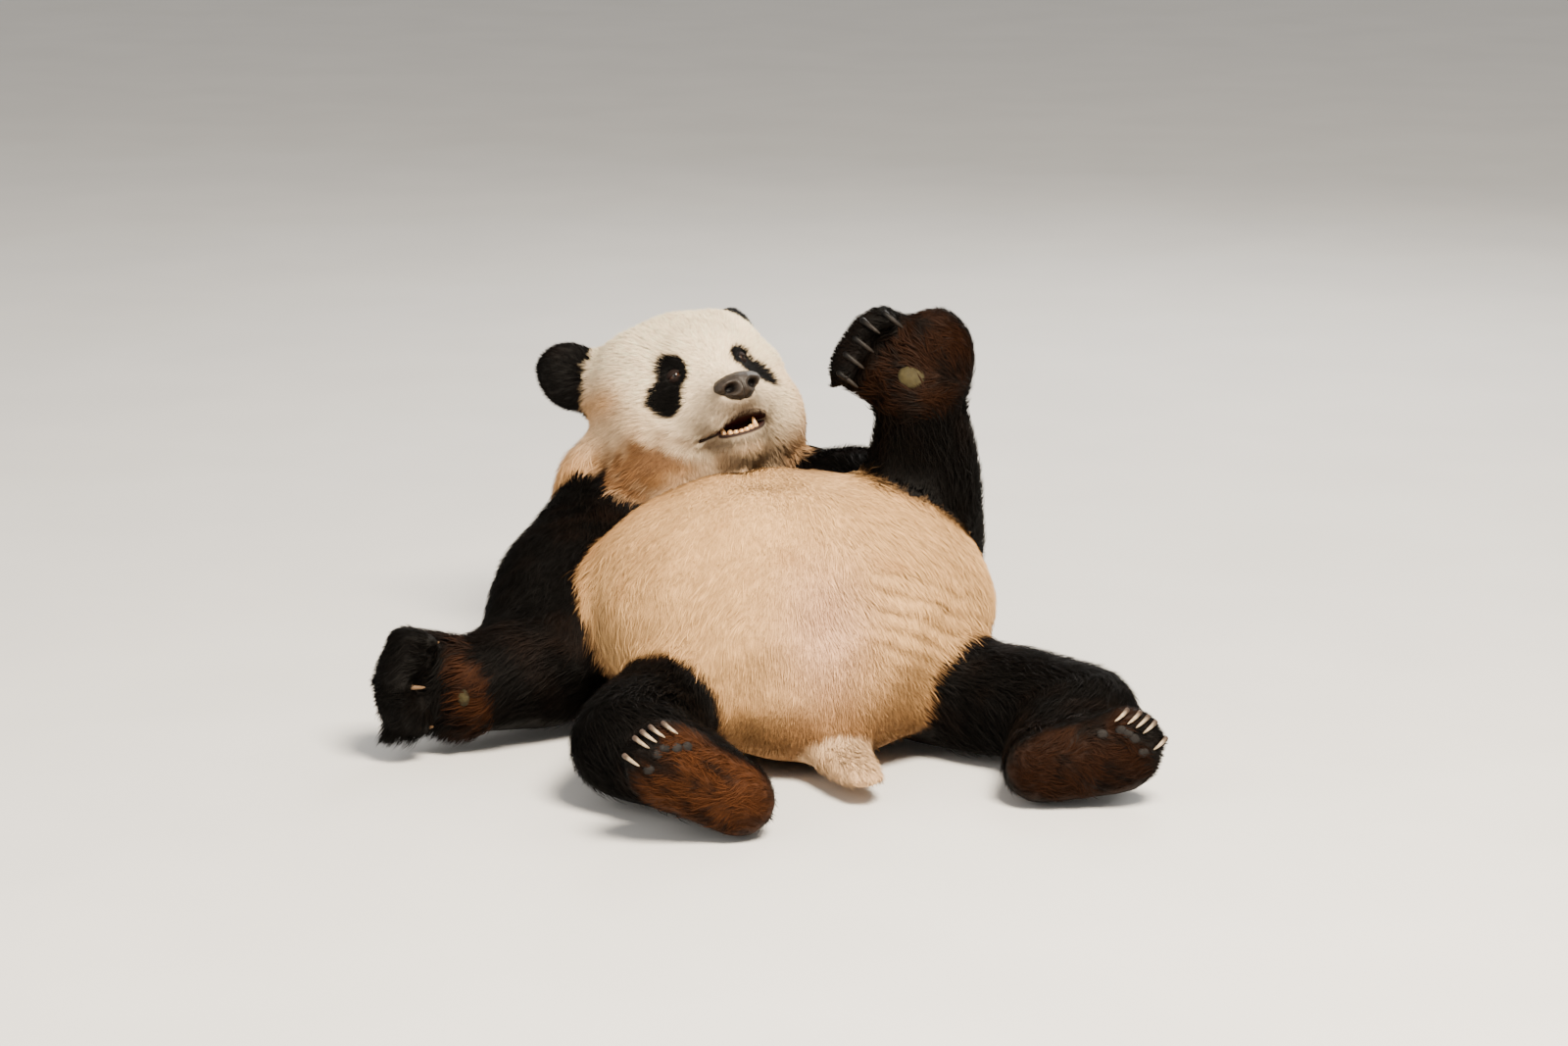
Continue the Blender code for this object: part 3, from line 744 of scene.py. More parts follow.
def joined_flesh(overlap):
    """All the parts of flesh in one bmesh, each grown a little so that neighbours join."""
    union = bmesh.new()
    for node in FLESH + FILLED:
        part = welded_copy(node)
        for vertex in part.verts:
            vertex.co += vertex.normal * overlap
        pour(part, union)
    add_ball(union, from_head(*CHIN), CHIN_RADII, HEAD_MATRIX)
    return union


def refine(bm, chosen):
    """Halves the edges of the faces for which chosen(places in the head) is true."""
    bm.faces.ensure_lookup_table()
    middles = to_head(np.array([f.calc_center_median() for f in bm.faces]))
    faces = [bm.faces[i] for i in np.nonzero(chosen(middles))[0]]
    edges = list({edge for face in faces for edge in face.edges})
    bmesh.ops.subdivide_edges(bm, edges=edges, cuts=1, use_grid_fill=True, smooth=0.0)
    near = to_head(np.array([v.co for v in bm.verts]))
    bm.verts.ensure_lookup_table()
    smooth(bm, [bm.verts[i] for i in np.nonzero(chosen(near))[0]], 0.5, rounds=2)


def sculpt_face(points):
    """Presses the eye sockets, the nose's bed, the mouth and the fold under the nose into the face."""
    face = to_head(points)
    front = face[:, 1] > 0.03
    for side in EYES:
        out = np.array(eye_frame(side)[0])
        off = points - np.array(eye_place(side))
        depth = off @ out
        beside = np.linalg.norm(off - np.outer(depth, out), axis=1)
        socket = bump_of(beside, SOCKET_WIDTH) * SOCKET_DEPTH * front * (depth > -0.02)
        points = points - np.outer(socket, out)
    bed = np.linalg.norm((face - NOSE_MIDDLE) / NOSE_BED_RADII, axis=1)
    points = points - np.outer((1.0 - step(0.55, 1.0, bed)) * NOSE_BED_DEPTH, HEAD_AXES[1])
    away, open_by, _ = mouth_gap(face)
    inward = unit(THROAT - face) @ HEAD_AXES
    inside = 1.0 - step(0.55, 1.0, away / np.maximum(open_by, 1e-4))
    crease = bump_of(away, MOUTH_CREASE[0]) * MOUTH_CREASE[1] * (away < 0.02)
    lips = bump_of(away - open_by - LIP_ROLL[0], LIP_ROLL[1]) * LIP_ROLL[2] * (away < 0.04)
    points = points + inward * (inside * MOUTH_DEPTH + crease - lips)[:, None]
    fold = bump_of(face[:, 0], NOSE_FOLD[0]) * step(-0.062, -0.045, face[:, 2])
    fold = fold * step(-0.012, -0.030, face[:, 2])
    return points + inward * (fold * NOSE_FOLD[1] * (face[:, 1] > 0.12))[:, None]


def sculpt_ears(points, normals, regions):
    """Hollows the fronts of the ears."""
    front = HEAD_AXES[1]
    for side in SIDES:
        low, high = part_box(f"{side}_ear")
        off = points - np.array((low + high) / 2.0)
        beside = np.linalg.norm(off - np.outer(off @ front, front), axis=1)
        hollow = bump_of(beside, EAR_WIDTH) * EAR_DEPTH * step(0.1, 0.6, normals @ front)
        points = points - np.outer(hollow * owned(regions, f"{side}_ear"), front)
    return points


def sculpt_belly(points, normals, owner):
    """Presses the navel, its groove and the left half's creases into the belly, and folds the body."""
    off = points - NAVEL
    beside = off @ TRUNK_LEFT
    hollow = bump_of(np.linalg.norm(off, axis=1), NAVEL_WIDTH) * NAVEL_DEPTH
    groove = bump_of(beside, GROOVE_WIDTH) * GROOVE_DEPTH * step(-0.030, 0.020, off[:, 2])
    folds = ripple(points * np.array([0.7, 0.7, 1.5]), 0.085, 41) * FOLD_DEPTH
    folds = folds * ~owned(owner, "head", "hand", "foot", "ear", "tail")
    slant = off[:, 2] + 0.40 * beside + ripple(points, 0.090, 43) * 0.006
    flank = step(0.050, 0.110, beside) * step(0.290, 0.230, beside) * bump_of(off[:, 2] - 0.020, 0.105)
    creases = (0.5 + 0.5 * np.cos(slant * (2.0 * math.pi / CREASE_APART))) ** 2 * CREASE_DEPTH * flank
    pressed = (hollow + groove + creases) * owned(owner, "belly", "chest")
    return points - normals * (pressed + folds)[:, None]


def coat_depth(owner, ends):
    """How deep the coat is at each vertex, without a step where two parts meet."""
    return spread(ends, coat_value(DEPTH, owner), 14)[:, 0]


class Skin:
    """The skin's mesh with what the coat needs to know about each of its vertices."""

    def __init__(self, sizes):
        self.bm = voxel_copy(joined_flesh(sizes.overlap), sizes.skin_grid)
        regions = Regions()
        self.settle(regions, sizes.overlap)
        for chosen in (on_face, on_muzzle, by_openings):
            refine(self.bm, chosen)
        points, normals = points_of(self.bm)
        self.owner = regions.of(points)
        points = sculpt_face(points)
        points = sculpt_ears(points, normals, self.owner)
        move_to(self.bm, sculpt_belly(points, normals, self.owner))
        self.points, self.normals = points_of(self.bm)
        self.ends = ends_of(self.bm)
        self.depth = coat_depth(self.owner, self.ends)
        self.shares = self.shares_of_colour()
        self.flow = unit(spread(self.ends, lie_of_coat(self.points, self.owner), 10))
        self.lie = unit(self.flow - self.normals * np.sum(self.flow * self.normals, axis=1)[:, None])

    def settle(self, regions, overlap):
        """Smooths the shell, and sinks it by what its parts grew and by the depth of the coat."""
        owner = regions.of(points_of(self.bm)[0])
        self.bm.verts.ensure_lookup_table()
        plain = ~owned(owner, "hand", "foot", "ear", "head")
        for rounds, chosen in ((FINE_ROUNDS, np.ones(len(plain), bool)), (BODY_ROUNDS, plain)):
            smooth(self.bm, [self.bm.verts[i] for i in np.nonzero(chosen)[0]], 0.5, rounds)
        points, normals = points_of(self.bm)
        ends = ends_of(self.bm)
        muzzle = step(0.05, 0.12, to_head(points)[:, 1]) * owned(owner, "head")
        depth = coat_depth(owner, ends) * (1.0 - MUZZLE_SHALLOWER * muzzle)
        move_to(self.bm, points - unit(spread(ends, normals, 3)) * (overlap + depth)[:, None])

    def shares_of_colour(self):
        """How much of each vertex is black, hand or foot, belly, and pale."""
        groups = {"hand": 1, "foot": 1, "belly": 2, "head": 3, "neck": 3, "tail": 3}
        kinds = np.array([groups.get(kind_of(node), 0) for node in FLESH])[self.owner]
        return spread(self.ends, np.eye(4)[kinds], 5)


def lid_shells(skin_tree, sizes):
    """The lids of both eyes: balls whose poles are the corners of the eye, open between the lids."""
    lids = bmesh.new()
    for side in EYES:
        out, along, over = eye_frame(side)
        shell = bmesh.new()
        outside = sizes.eye_radius + LID_THICKNESS
        bmesh.ops.create_uvsphere(shell, u_segments=48, v_segments=24, radius=outside)
        gone = []
        for face in shell.faces:
            middle = face.calc_center_median()
            angle = math.degrees(math.atan2(middle.y, middle.x))
            if LIDS_APART[0] < angle < LIDS_APART[1] or abs(angle) > LID_CORNERS:
                gone.append(face)
        bmesh.ops.delete(shell, geom=gone, context="FACES")
        bmesh.ops.solidify(shell, geom=shell.faces, thickness=LID_THICKNESS)
        stretch = Matrix.Scale(LID_STRETCH, 4, (0.0, 0.0, 1.0))
        bmesh.ops.transform(shell, matrix=stretch, verts=shell.verts)
        place = Matrix.Translation(eye_centre(skin_tree, side, sizes))
        turn = Matrix((out, over, along)).transposed().to_4x4()
        bmesh.ops.transform(shell, matrix=place @ turn, verts=shell.verts)
        pour(shell, lids)
    return lids


def eye_centre(skin_tree, side, sizes):
    """The middle of an eyeball, set in from the face by the eye's depth."""
    out = eye_frame(side)[0]
    hit = skin_tree.ray_cast(eye_place(side) + out * 0.08, -out)[0]
    if hit is None:
        raise RuntimeError("no face is found in front of an eye")
    return hit - out * sizes.eye_depth


def paint(mesh, colours):
    """Stores a colour for each vertex under the name that the materials read."""
    attribute = mesh.attributes.new("marking", "FLOAT_COLOR", "POINT")
    rows = np.ones((len(colours), 4), np.float32)
    rows[:, :3] = colours
    attribute.data.foreach_set("color", rows.ravel())


# What later operators need of earlier ones: the skin, its search tree and the places of the pads.
_made = {}


class PANDA_OT_skin(bpy.types.Operator):
    """Builds one skin in place of all the parts of flesh, with the sockets, lids, mouth and ears"""

    bl_idname = "panda.skin"
    bl_label = "Skin"

    def execute(self, context):
        sizes, palette = context.scene.panda_sizes, context.scene.panda_colours
        skin = Skin(sizes)
        tree = BVHTree.FromBMesh(skin.bm)
        colours = np.clip(markings(skin.points, skin.shares, skin.normals) * 0.92, 0.0, 1.0)
        away, open_by, _ = mouth_gap(to_head(skin.points))
        on_head = owned(skin.owner, "head")
        lips = (1.0 - step(0.0030, 0.0060, away - open_by)) * on_head
        colours = mixed(colours, palette.lip, lips)
        inside = (1.0 - step(0.5, 0.95, away / np.maximum(open_by, 1e-4))) * on_head
        colours = mixed(colours, palette.mouth, inside)
        lids = lid_shells(tree, sizes)
        colours = np.vstack([colours, rows_of(palette.lid, len(lids.verts))])
        whole = skin.bm.copy()
        pour(lids, whole)
        mesh = bpy.data.meshes.new("skin")
        whole.to_mesh(mesh)
        whole.free()
        paint(mesh, colours)
        mesh.polygons.foreach_set("use_smooth", [True] * len(mesh.polygons))
        mesh.materials.append(skin_material())
        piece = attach(linked("skin", mesh), BODY)
        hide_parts(*FLESH)
        _made["skin"] = skin
        _made["tree"] = tree
        return {"FINISHED"}


# -------- materials --------


class Finish:
    """A material under way: its node tree, its shader, and the coordinates that its patterns read."""

    def __init__(self, name, roughness, **sockets):
        self.material = bpy.data.materials.new(name)
        self.material.use_nodes = True
        self.nodes = self.material.node_tree.nodes
        self.link = self.material.node_tree.links.new
        self.shader = self.nodes["Principled BSDF"]
        self.shader.inputs["Roughness"].default_value = roughness
        for socket, value in sockets.items():
            self.shader.inputs[socket.replace("_", " ")].default_value = value
        self.places = self.nodes.new("ShaderNodeTexCoord").outputs["Object"]

    def node(self, kind, **values):
        """A new node with these values at its inputs."""
        node = self.nodes.new(kind)
        for socket, value in values.items():
            node.inputs[socket].default_value = value
        return node

    def noise(self, scale, detail, stretch=None):
        """A noise pattern in the piece's own coordinates."""
        noise = self.node("ShaderNodeTexNoise", Scale=scale, Detail=detail)
        source = self.places
        if stretch is not None:
            mapping = self.node("ShaderNodeMapping", Scale=stretch)
            self.link(source, mapping.inputs["Vector"])
            source = mapping.outputs["Vector"]
        self.link(source, noise.inputs["Vector"])
        return noise.outputs["Fac"]

    def pebbles(self, scale):
        """A pattern of small rounded lumps."""
        cells = self.node("ShaderNodeTexVoronoi", Scale=scale)
        self.link(self.places, cells.inputs["Vector"])
        return cells.outputs["Distance"]

    def bump(self, height, strength, distance):
        """Gives the shader a bump from a height."""
        bump = self.node("ShaderNodeBump", Strength=strength, Distance=distance)
        self.link(height, bump.inputs["Height"])
        self.link(bump.outputs["Normal"], self.shader.inputs["Normal"])

    def ramp(self, value, *stops):
        """A colour ramp between two (place, colour) stops."""
        ramp = self.node("ShaderNodeValToRGB")
        for element, (place, colour) in zip(ramp.color_ramp.elements, stops):
            element.position = place
            element.color = (*colour, 1.0)
        self.link(value, ramp.inputs["Fac"])
        return ramp.outputs["Color"]

    def colour(self, colour):
        """Sets the base colour."""
        self.link(colour, self.shader.inputs["Base Color"])

    def marking(self):
        """The colour that paint stores for each vertex."""
        attribute = self.node("ShaderNodeAttribute")
        attribute.attribute_name = "marking"
        return attribute.outputs["Color"]

    def marked(self, scale, low, high):
        """Sets the base colour to the vertex markings, varied by a noise."""
        marking = self.marking()
        grain = self.ramp(self.noise(scale, 3.0), (0.30, (low, low, low)), (0.70, (high, high, high)))
        mix = self.node("ShaderNodeMix", Factor=1.0)
        mix.data_type = "RGBA"
        mix.blend_type = "MULTIPLY"
        self.link(marking, mix.inputs["A"])
        self.link(grain, mix.inputs["B"])
        self.colour(mix.outputs["Result"])


def skin_material():
    """Skin with short under-fur: the markings over a fine grain."""
    finish = Finish("skin_underfur", 0.72, Specular_IOR_Level=0.12)
    finish.marked(60.0, 0.80, 1.0)
    finish.bump(finish.noise(420.0, 4.0), 0.55, 0.0012)
    return finish.material


def coat_material(name, specular):
    """Guard hair: the markings with as much gloss as the colour of the coat allows."""
    finish = Finish(name, 0.60, Specular_IOR_Level=specular)
    finish.marked(34.0, 0.88, 1.0)
    return finish.material


# -------- the coat --------

# A hair is a closed spike of three sides with a ring at its root and a tip. A lock has a second ring half
# way. Each ring is left, top, right. The patch is where its points lie on the unwrap, in units of PATCH.
PATCH = 0.0030
HAIR_FACES = ((1, 0, 3), (2, 1, 3), (0, 2, 3), (0, 1, 2))
HAIR_PATCH = np.array([(-0.42, 0.0), (0.0, 0.10), (0.42, 0.0), (0.0, 1.0)])
# Painted shade along a hair: darker at its root, where shade falls among the hairs, and lighter at its tip.
HAIR_PAINTED_SHADE = np.array([0.78, 0.84, 0.78, 1.06])
LOCK_FACES = ((3, 4, 1, 0), (4, 5, 2, 1), (5, 3, 0, 2), (6, 4, 3), (6, 5, 4), (6, 3, 5), (0, 1, 2))
LOCK_PATCH = np.array([*HAIR_PATCH[:3], (-0.36, 0.5), (0.0, 0.56), (0.36, 0.5), (0.0, 1.0)])
# The same painted shade along a lock, darker at the root and lighter towards the tip.
LOCK_PAINTED_SHADE = np.array([0.78, 0.84, 0.78, 0.94, 0.98, 0.94, 1.08])

# How deep in the skin a hair's root is, how far above the floor its lowest point stays, and how bright its
# colour may be.
ROOT_SINK = 0.0012
LEAST_HEIGHT = 0.0006
BRIGHTEST = 0.92

# The most triangles in a piece, and how many roots there are to a clump.
MOST_TRIANGLES = 196000
CLUMP = 20

# How much thicker the coat stands on the face and on the belly's top.
FACE_THICKER, BELLY_THICKER = 1.1, 0.40

# The shortest hair, by the nose, and how much longer that of the low cheeks is.
NOSE_HAIR = 0.0065
CHEEK_LONGER = 0.45

# How much shorter hairs are about an eye, and how far that reaches.
EYE_SHORTER, EYE_REACH = 0.50, 0.022

# How far hairs swing from the lie of the coat, in radians: patch by patch and hair by hair, then the same
# on top of that for hands and feet.
SWINGS = (0.26, 0.15)
UNRULY_SWINGS = (0.70, 0.12)

# How much less hairs swing and rise on the belly's top.
SLEEK_SWING, SLEEK_RISE = 0.45, 0.60

# How far a tip is drawn to its clump's leader, at least and at most.
DRAWN = (0.15, 0.60)

# How far above the skin tips lie, in shares of the coat's depth: at least, and the most on top of that.
RISE = (0.42, 0.80)

# How far a lock's end sinks and its middle lifts, in shares of its length.
LOCK_SINK, LOCK_LIFT = 0.06, 0.09

# The slot of each coat piece that isn't black, and the slots that take the pale hair; a slot only picks the
# material.
COAT_SLOTS = {
    "face_coat": "coat_white",
    "head_coat": "coat_white",
    "neck_coat": "coat_white",
    "tail_coat": "coat_white",
    "belly_coat": "coat_cream",
    "hand_coat": "coat_brown",
    "foot_coat": "coat_brown",
}
PALE_SLOTS = ("coat_white", "coat_cream")

# The bare pads of left and right wrist: place, half width, half height, and turn in degrees.
WRIST_PADS = (
    ((0.160, 0.104, 0.517), 0.0200, 0.0165, -20.0),
    ((-0.472, -0.077, 0.093), 0.0090, 0.0125, 10.0),
)

# A toe pad's half width, how far behind its claw's tip it lies, how thick each pad is, and how much of its
# place keeps free of hair.
TOE_PAD = 0.0082
TOE_PAD_BACK = 0.009
PAD_THICKNESS = {"pad": 0.19, "toe": 0.30}
PAD_BARE = 0.62

# Where the nose and the slits of the eyes keep free of hair.
NOSE_BARE = np.array([0.036, 0.045, 0.020])
SLIT_HALF_WIDTH, SLIT_HALF_HEIGHT = 0.0115, 0.0075

# The hair on the bare sides of hands and feet: how squarely the skin must face for it, and how much longer
# it is. Then the range of facing over which more locks set in, and how many more.
BARE_HAIR = {"hand": (0.3, 1.30, 0.2, 0.6, 0.05), "foot": (0.5, 1.05, 0.3, 0.7, 0.06)}


def coat_group(node, front):
    """The coat piece of a root on this node, this far in front of the head's centre."""
    kind = kind_of(node)
    if node == "head" and front > FACE_FRONT:
        return "face_coat"
    if kind in ("upper_arm", "forearm"):
        return node.split("_")[0] + "_arm_coat"
    if kind in ("thigh", "shin"):
        return node.split("_")[0] + "_leg_coat"
    return kind + "_coat"


def bare_skin(face, owner):
    """True where no tuft grows: lids, lips, mouth and nose."""
    away, open_by, _ = mouth_gap(face)
    nose = np.linalg.norm((face - NOSE_MIDDLE) / NOSE_BARE, axis=1) < 1.0
    lids = near_eyes(face, 0.0150) & near_lids(face)
    return owned(owner, "head") & (lids | (away < open_by + 0.0025) | nose)


def near_lids(face):
    """True close in front of an eye's slit."""
    near = np.zeros(len(face), bool)
    for side in EYES:
        along, over = (HEAD_AXES @ np.array(way) for way in eye_frame(side)[1:])
        off = face - eye_in_head(side)
        near |= np.hypot(off @ along / SLIT_HALF_WIDTH, off @ over / SLIT_HALF_HEIGHT) < 1.0
    return near


def pad_places():
    """Every bare pad: its middle, its facing, its half width and height, its turn and its colour."""
    tree = _made["tree"]
    pads = []
    for place, half_width, half_height, turn in WRIST_PADS:
        middle, facing, _, _ = tree.find_nearest(Vector(place))
        pads.append((middle, facing, half_width, half_height, math.radians(turn), "pad"))
    for side in SIDES:
        heel = BONES[f"{side}_foot"][0]
        for number in range(1, 6):
            claw = welded_copy(f"{side}_foot_claw_{number}")
            tip = max((v.co for v in claw.verts), key=lambda point: tree.find_nearest(point)[3]).copy()
            claw.free()
            middle, facing, _, _ = tree.find_nearest(tip + (heel - tip).normalized() * TOE_PAD_BACK)
            pads.append((middle, facing, TOE_PAD, TOE_PAD * 0.85, 0.0, "toe"))
    return pads


def on_pads(points):
    """True where a bare pad lies."""
    bare = np.zeros(len(points), bool)
    for middle, _, half_width, half_height, _, _ in _made["pads"]:
        reach = 0.5 * (half_width + half_height) * PAD_BARE
        bare |= np.linalg.norm(points - np.array(middle), axis=1) < reach
    return bare


def scatter(skin, share, chance):
    """Root places over the skin, as dense as each part wants, with the skin's values there."""
    triangles = np.array([[v.vert.index for v in loops] for loops in skin.bm.calc_loop_triangles()])
    corners = skin.points[triangles]
    area = np.cross(corners[:, 1] - corners[:, 0], corners[:, 2] - corners[:, 0])
    area = np.linalg.norm(area, axis=1) / 2.0
    owner = skin.owner[triangles[:, 0]]
    density = coat_value(DENSITY, owner).astype(float)
    middles = corners.mean(axis=1)
    face = to_head(middles)
    density *= np.where(owned(owner, "head"), 1.0 + FACE_THICKER * step(0.03, 0.09, face[:, 1]), 1.0)
    downwards = -skin.normals[triangles].mean(axis=1)[:, 2]
    density *= 1.0 + BELLY_THICKER * owned(owner, "belly") * step(0.55, 0.90, -downwards)
    resting = step(0.35, 0.80, downwards) * step(0.090, 0.030, middles[:, 2])
    density *= 1.0 - resting * ~owned(owner, HANGING)
    density[bare_skin(face, owner) | on_pads(middles)] = 0.0
    wanted = np.cumsum(area * density * share)
    places = np.arange(0.5, wanted[-1], 1.0)
    places += chance.uniform(-0.5, 0.5, len(places))
    chosen = np.searchsorted(wanted, np.clip(places, 0.0, wanted[-1]))
    chosen = np.minimum(chosen, len(wanted) - 1)
    first, second = chance.uniform(size=(2, len(chosen)))
    over = first + second > 1.0
    first[over], second[over] = 1.0 - first[over], 1.0 - second[over]
    weights = np.stack([1.0 - first - second, first, second], axis=1)
    picked = triangles[chosen]
    roots = {"owner": owner[chosen]}
    for name in ("points", "normals", "lie", "flow", "shares", "depth"):
        values = getattr(skin, name)
        values = np.einsum("ij,ijk->ik", weights, values.reshape(len(values), -1)[picked])
        roots[name] = unit(values) if name in ("normals", "lie", "flow") else values
    roots["depth"] = roots["depth"][:, 0]
    return roots


def bare_facing(node, normals):
    """How squarely each normal looks the way that this hand's or foot's bare side faces."""
    return normals @ np.array(BARE_SIDES[node][0].normalized())


def hangs_from_fist(roots):
    """How much of a root's hair hangs from the underside of the fist."""
    return owned(roots["owner"], HANGING) * step(0.15, 0.60, -roots["normals"][:, 2])


def hair_lengths(roots):
    """How long the hair of each root is."""
    face, owner = to_head(roots["points"]), roots["owner"]
    lengths = coat_value(LENGTH, owner)
    on_head = owned(owner, "head")
    reach = np.linalg.norm(face - MUZZLE_ROOT, axis=1)
    lengths = np.where(on_head, NOSE_HAIR + (lengths - NOSE_HAIR) * step(0.02, 0.17, reach), lengths)
    lengths = lengths + (HANGING_LENGTH - lengths) * hangs_from_fist(roots)
    low_cheek = on_head * step(-0.050, -0.090, face[:, 2]) * step(0.11, 0.06, face[:, 1])
    lengths = lengths * (1.0 + CHEEK_LONGER * low_cheek)
    for side in EYES:
        near = bump_of(np.linalg.norm(face - eye_in_head(side), axis=1), EYE_REACH)
        lengths = lengths * (1.0 - EYE_SHORTER * near * on_head)
    for node in BARE_SIDES:
        square, longer = BARE_HAIR[kind_of(node)][:2]
        bare = owned(owner, node) & (bare_facing(node, roots["normals"]) > square)
        lengths = np.where(bare, lengths * longer, lengths)
    return lengths


def laid_on_skin(tree, targets, heights):
    """Points brought to these heights over the skin nearest to them."""
    laid = np.empty_like(targets)
    for index, (point, height) in enumerate(zip(targets, heights)):
        place, normal, _, _ = tree.find_nearest(Vector(point))
        laid[index] = place + normal * height
    return laid


def leaders(points):
    """The root that leads each root's clump."""
    heads = np.arange(0, len(points), CLUMP)
    clumps = KDTree(len(heads))
    for index, head in enumerate(heads):
        clumps.insert(Vector(points[head]), index)
    clumps.balance()
    return heads[np.array([clumps.find(Vector(point))[1] for point in points])]


def combed_tips(roots, tree, lengths, chance):
    """Where each hair ends: along the lie of the coat and near its clump's leader.

    Where the coat runs off an end, hairs stand out along it instead.
    """
    points, normals, lie = roots["points"], roots["normals"], roots["lie"]
    count = len(points)
    side = unit(np.cross(normals, lie))
    unruly = owned(roots["owner"], "hand", "foot")
    swing = ripple(points, 0.11, 21) * SWINGS[0] + chance.normal(0.0, SWINGS[1], count)
    more = ripple(points, 0.055, 23) * UNRULY_SWINGS[0] + chance.normal(0.0, UNRULY_SWINGS[1], count)
    swing += unruly * more
    sleek = owned(roots["owner"], "belly") * step(0.70, 0.96, normals[:, 2])
    swing *= 1.0 - SLEEK_SWING * sleek
    way = lie * np.cos(swing)[:, None] + side * np.sin(swing)[:, None]
    tips = points + way * lengths[:, None]
    tips += (tips[roots["leader"]] - tips) * chance.uniform(*DRAWN, count)[:, None]
    reach = roots["depth"] * np.clip(lengths / 0.018, 0.30, 1.0)
    reach *= 1.0 - SLEEK_RISE * sleek
    laid = laid_on_skin(tree, tips, reach * (RISE[0] + RISE[1] * chance.uniform(size=count) ** 1.5))
    room = roots["depth"] * 1.5
    room = room + (HANGING_LENGTH - room) * hangs_from_fist(roots)
    out = np.minimum(lengths, room) * chance.uniform(0.6, 1.1, count)
    free = points + roots["flow"] * out[:, None]
    leaves = step(0.35, 0.85, np.sum(roots["flow"] * normals, axis=1))[:, None]
    return laid + (free - laid) * leaves


def ring_of(middles, side, normals, half, lift):
    """The left, top and right points of a ring of a hair."""
    return [middles - side * half, middles + normals * half * lift, middles + side * half]


def strand_shapes(roots, tips, half, middles=None):
    """The points of every hair or lock, and the way that each point faces, by strand and point."""
    points, normals = roots["points"], roots["normals"]
    side = unit(np.cross(normals, tips - points))
    half = half[:, None]
    rings = ring_of(points - normals * ROOT_SINK, side, normals, half, 0.7)
    facing = [normals - side * 0.6, normals, normals + side * 0.6]
    if middles is not None:
        rings += ring_of(middles, side, normals, half * 0.72, 0.5)
        facing += facing[:3]
    facing = [unit(way) for way in [*facing, normals + roots["lie"] * 0.15]]
    shapes = np.stack([*rings, tips], axis=1)
    shapes[:, :, 2] = np.maximum(shapes[:, :, 2], LEAST_HEIGHT)
    return shapes, np.stack(facing, axis=1)


def lock_share(roots):
    """How likely each root is to carry a long lock: more on palms, soles, jowls and flanks."""
    face, owner = to_head(roots["points"]), roots["owner"]
    jowl = owned(owner, "head") * step(-0.035, -0.080, face[:, 2]) * step(0.10, 0.05, face[:, 1])
    beside = np.abs((roots["points"] - CHEST_EDGE) @ TRUNK_LEFT)
    flank = owned(owner, "belly") * step(0.19, 0.26, beside)
    share = coat_value(LOCKS, owner) + 0.12 * jowl + 0.05 * flank
    for node in BARE_SIDES:
        low, high, more = BARE_HAIR[kind_of(node)][2:]
        facing = bare_facing(node, roots["normals"])
        share = share + more * owned(owner, node) * step(low, high, facing)
    return share


def taken(roots, chosen):
    """The roots at these places of the list. Each leads itself."""
    few = {name: values[chosen] for name, values in roots.items()}
    few["leader"] = np.arange(len(few["points"]))
    return few


def lock_shapes(roots, tree, width, chance):
    """Long locks that bend down at their ends."""
    lengths = hair_lengths(roots) * chance.uniform(1.15, 1.65, len(roots["points"]))
    tips = combed_tips(roots, tree, lengths, chance)
    tips[:, 2] -= LOCK_SINK * lengths
    middles = roots["points"] * 0.5 + tips * 0.5 + roots["normals"] * (LOCK_LIFT * lengths)[:, None]
    half = width * 0.5 * np.clip(lengths / 0.036, 0.45, 1.1)
    return strand_shapes(roots, tips, half, middles)


def hair_shapes(roots, tree, width, chance):
    """Straight hairs that lie along the body."""
    lengths = hair_lengths(roots) * chance.uniform(0.70, 1.20, len(roots["points"]))
    tips = combed_tips(roots, tree, lengths, chance)
    half = width * 0.5 * np.clip(lengths / 0.030, 0.46, 1.0)
    return strand_shapes(roots, tips, half)


def box_unwrap(points, normals):
    """Each root's place on an unwrap of the skin into six charts, one for each way that it faces."""
    low, high = points.min(axis=0), points.max(axis=0)
    place = (points - low) / np.maximum(high - low, 1e-6)
    axis = np.argmax(np.abs(normals), axis=1)
    back = normals[np.arange(len(points)), axis] < 0.0
    first = np.where(axis == 0, place[:, 1], place[:, 0])
    second = np.where(axis == 2, place[:, 1], place[:, 2])
    u = (axis + 0.03 + 0.94 * first) / 3.0
    v = (back + 0.03 + 0.94 * second) / 2.0
    return filled_square(np.stack([u, v], axis=1))


def round_unwrap(points):
    """Each root's place on the face spread flat about the nose."""
    face = to_head(points) - np.array([0.0, -0.02, 0.0])
    turn = np.arctan2(np.hypot(face[:, 0], face[:, 2]), face[:, 1])
    round_by = np.arctan2(face[:, 2], face[:, 0])
    return filled_square(np.stack([turn * np.cos(round_by), turn * np.sin(round_by)], axis=1))


def filled_square(places):
    """Places scaled to fill the unit square, less a margin for the patches."""
    low, high = places.min(axis=0), places.max(axis=0)
    return 0.005 + 0.985 * (places - low) / np.maximum(high - low, 1e-6)


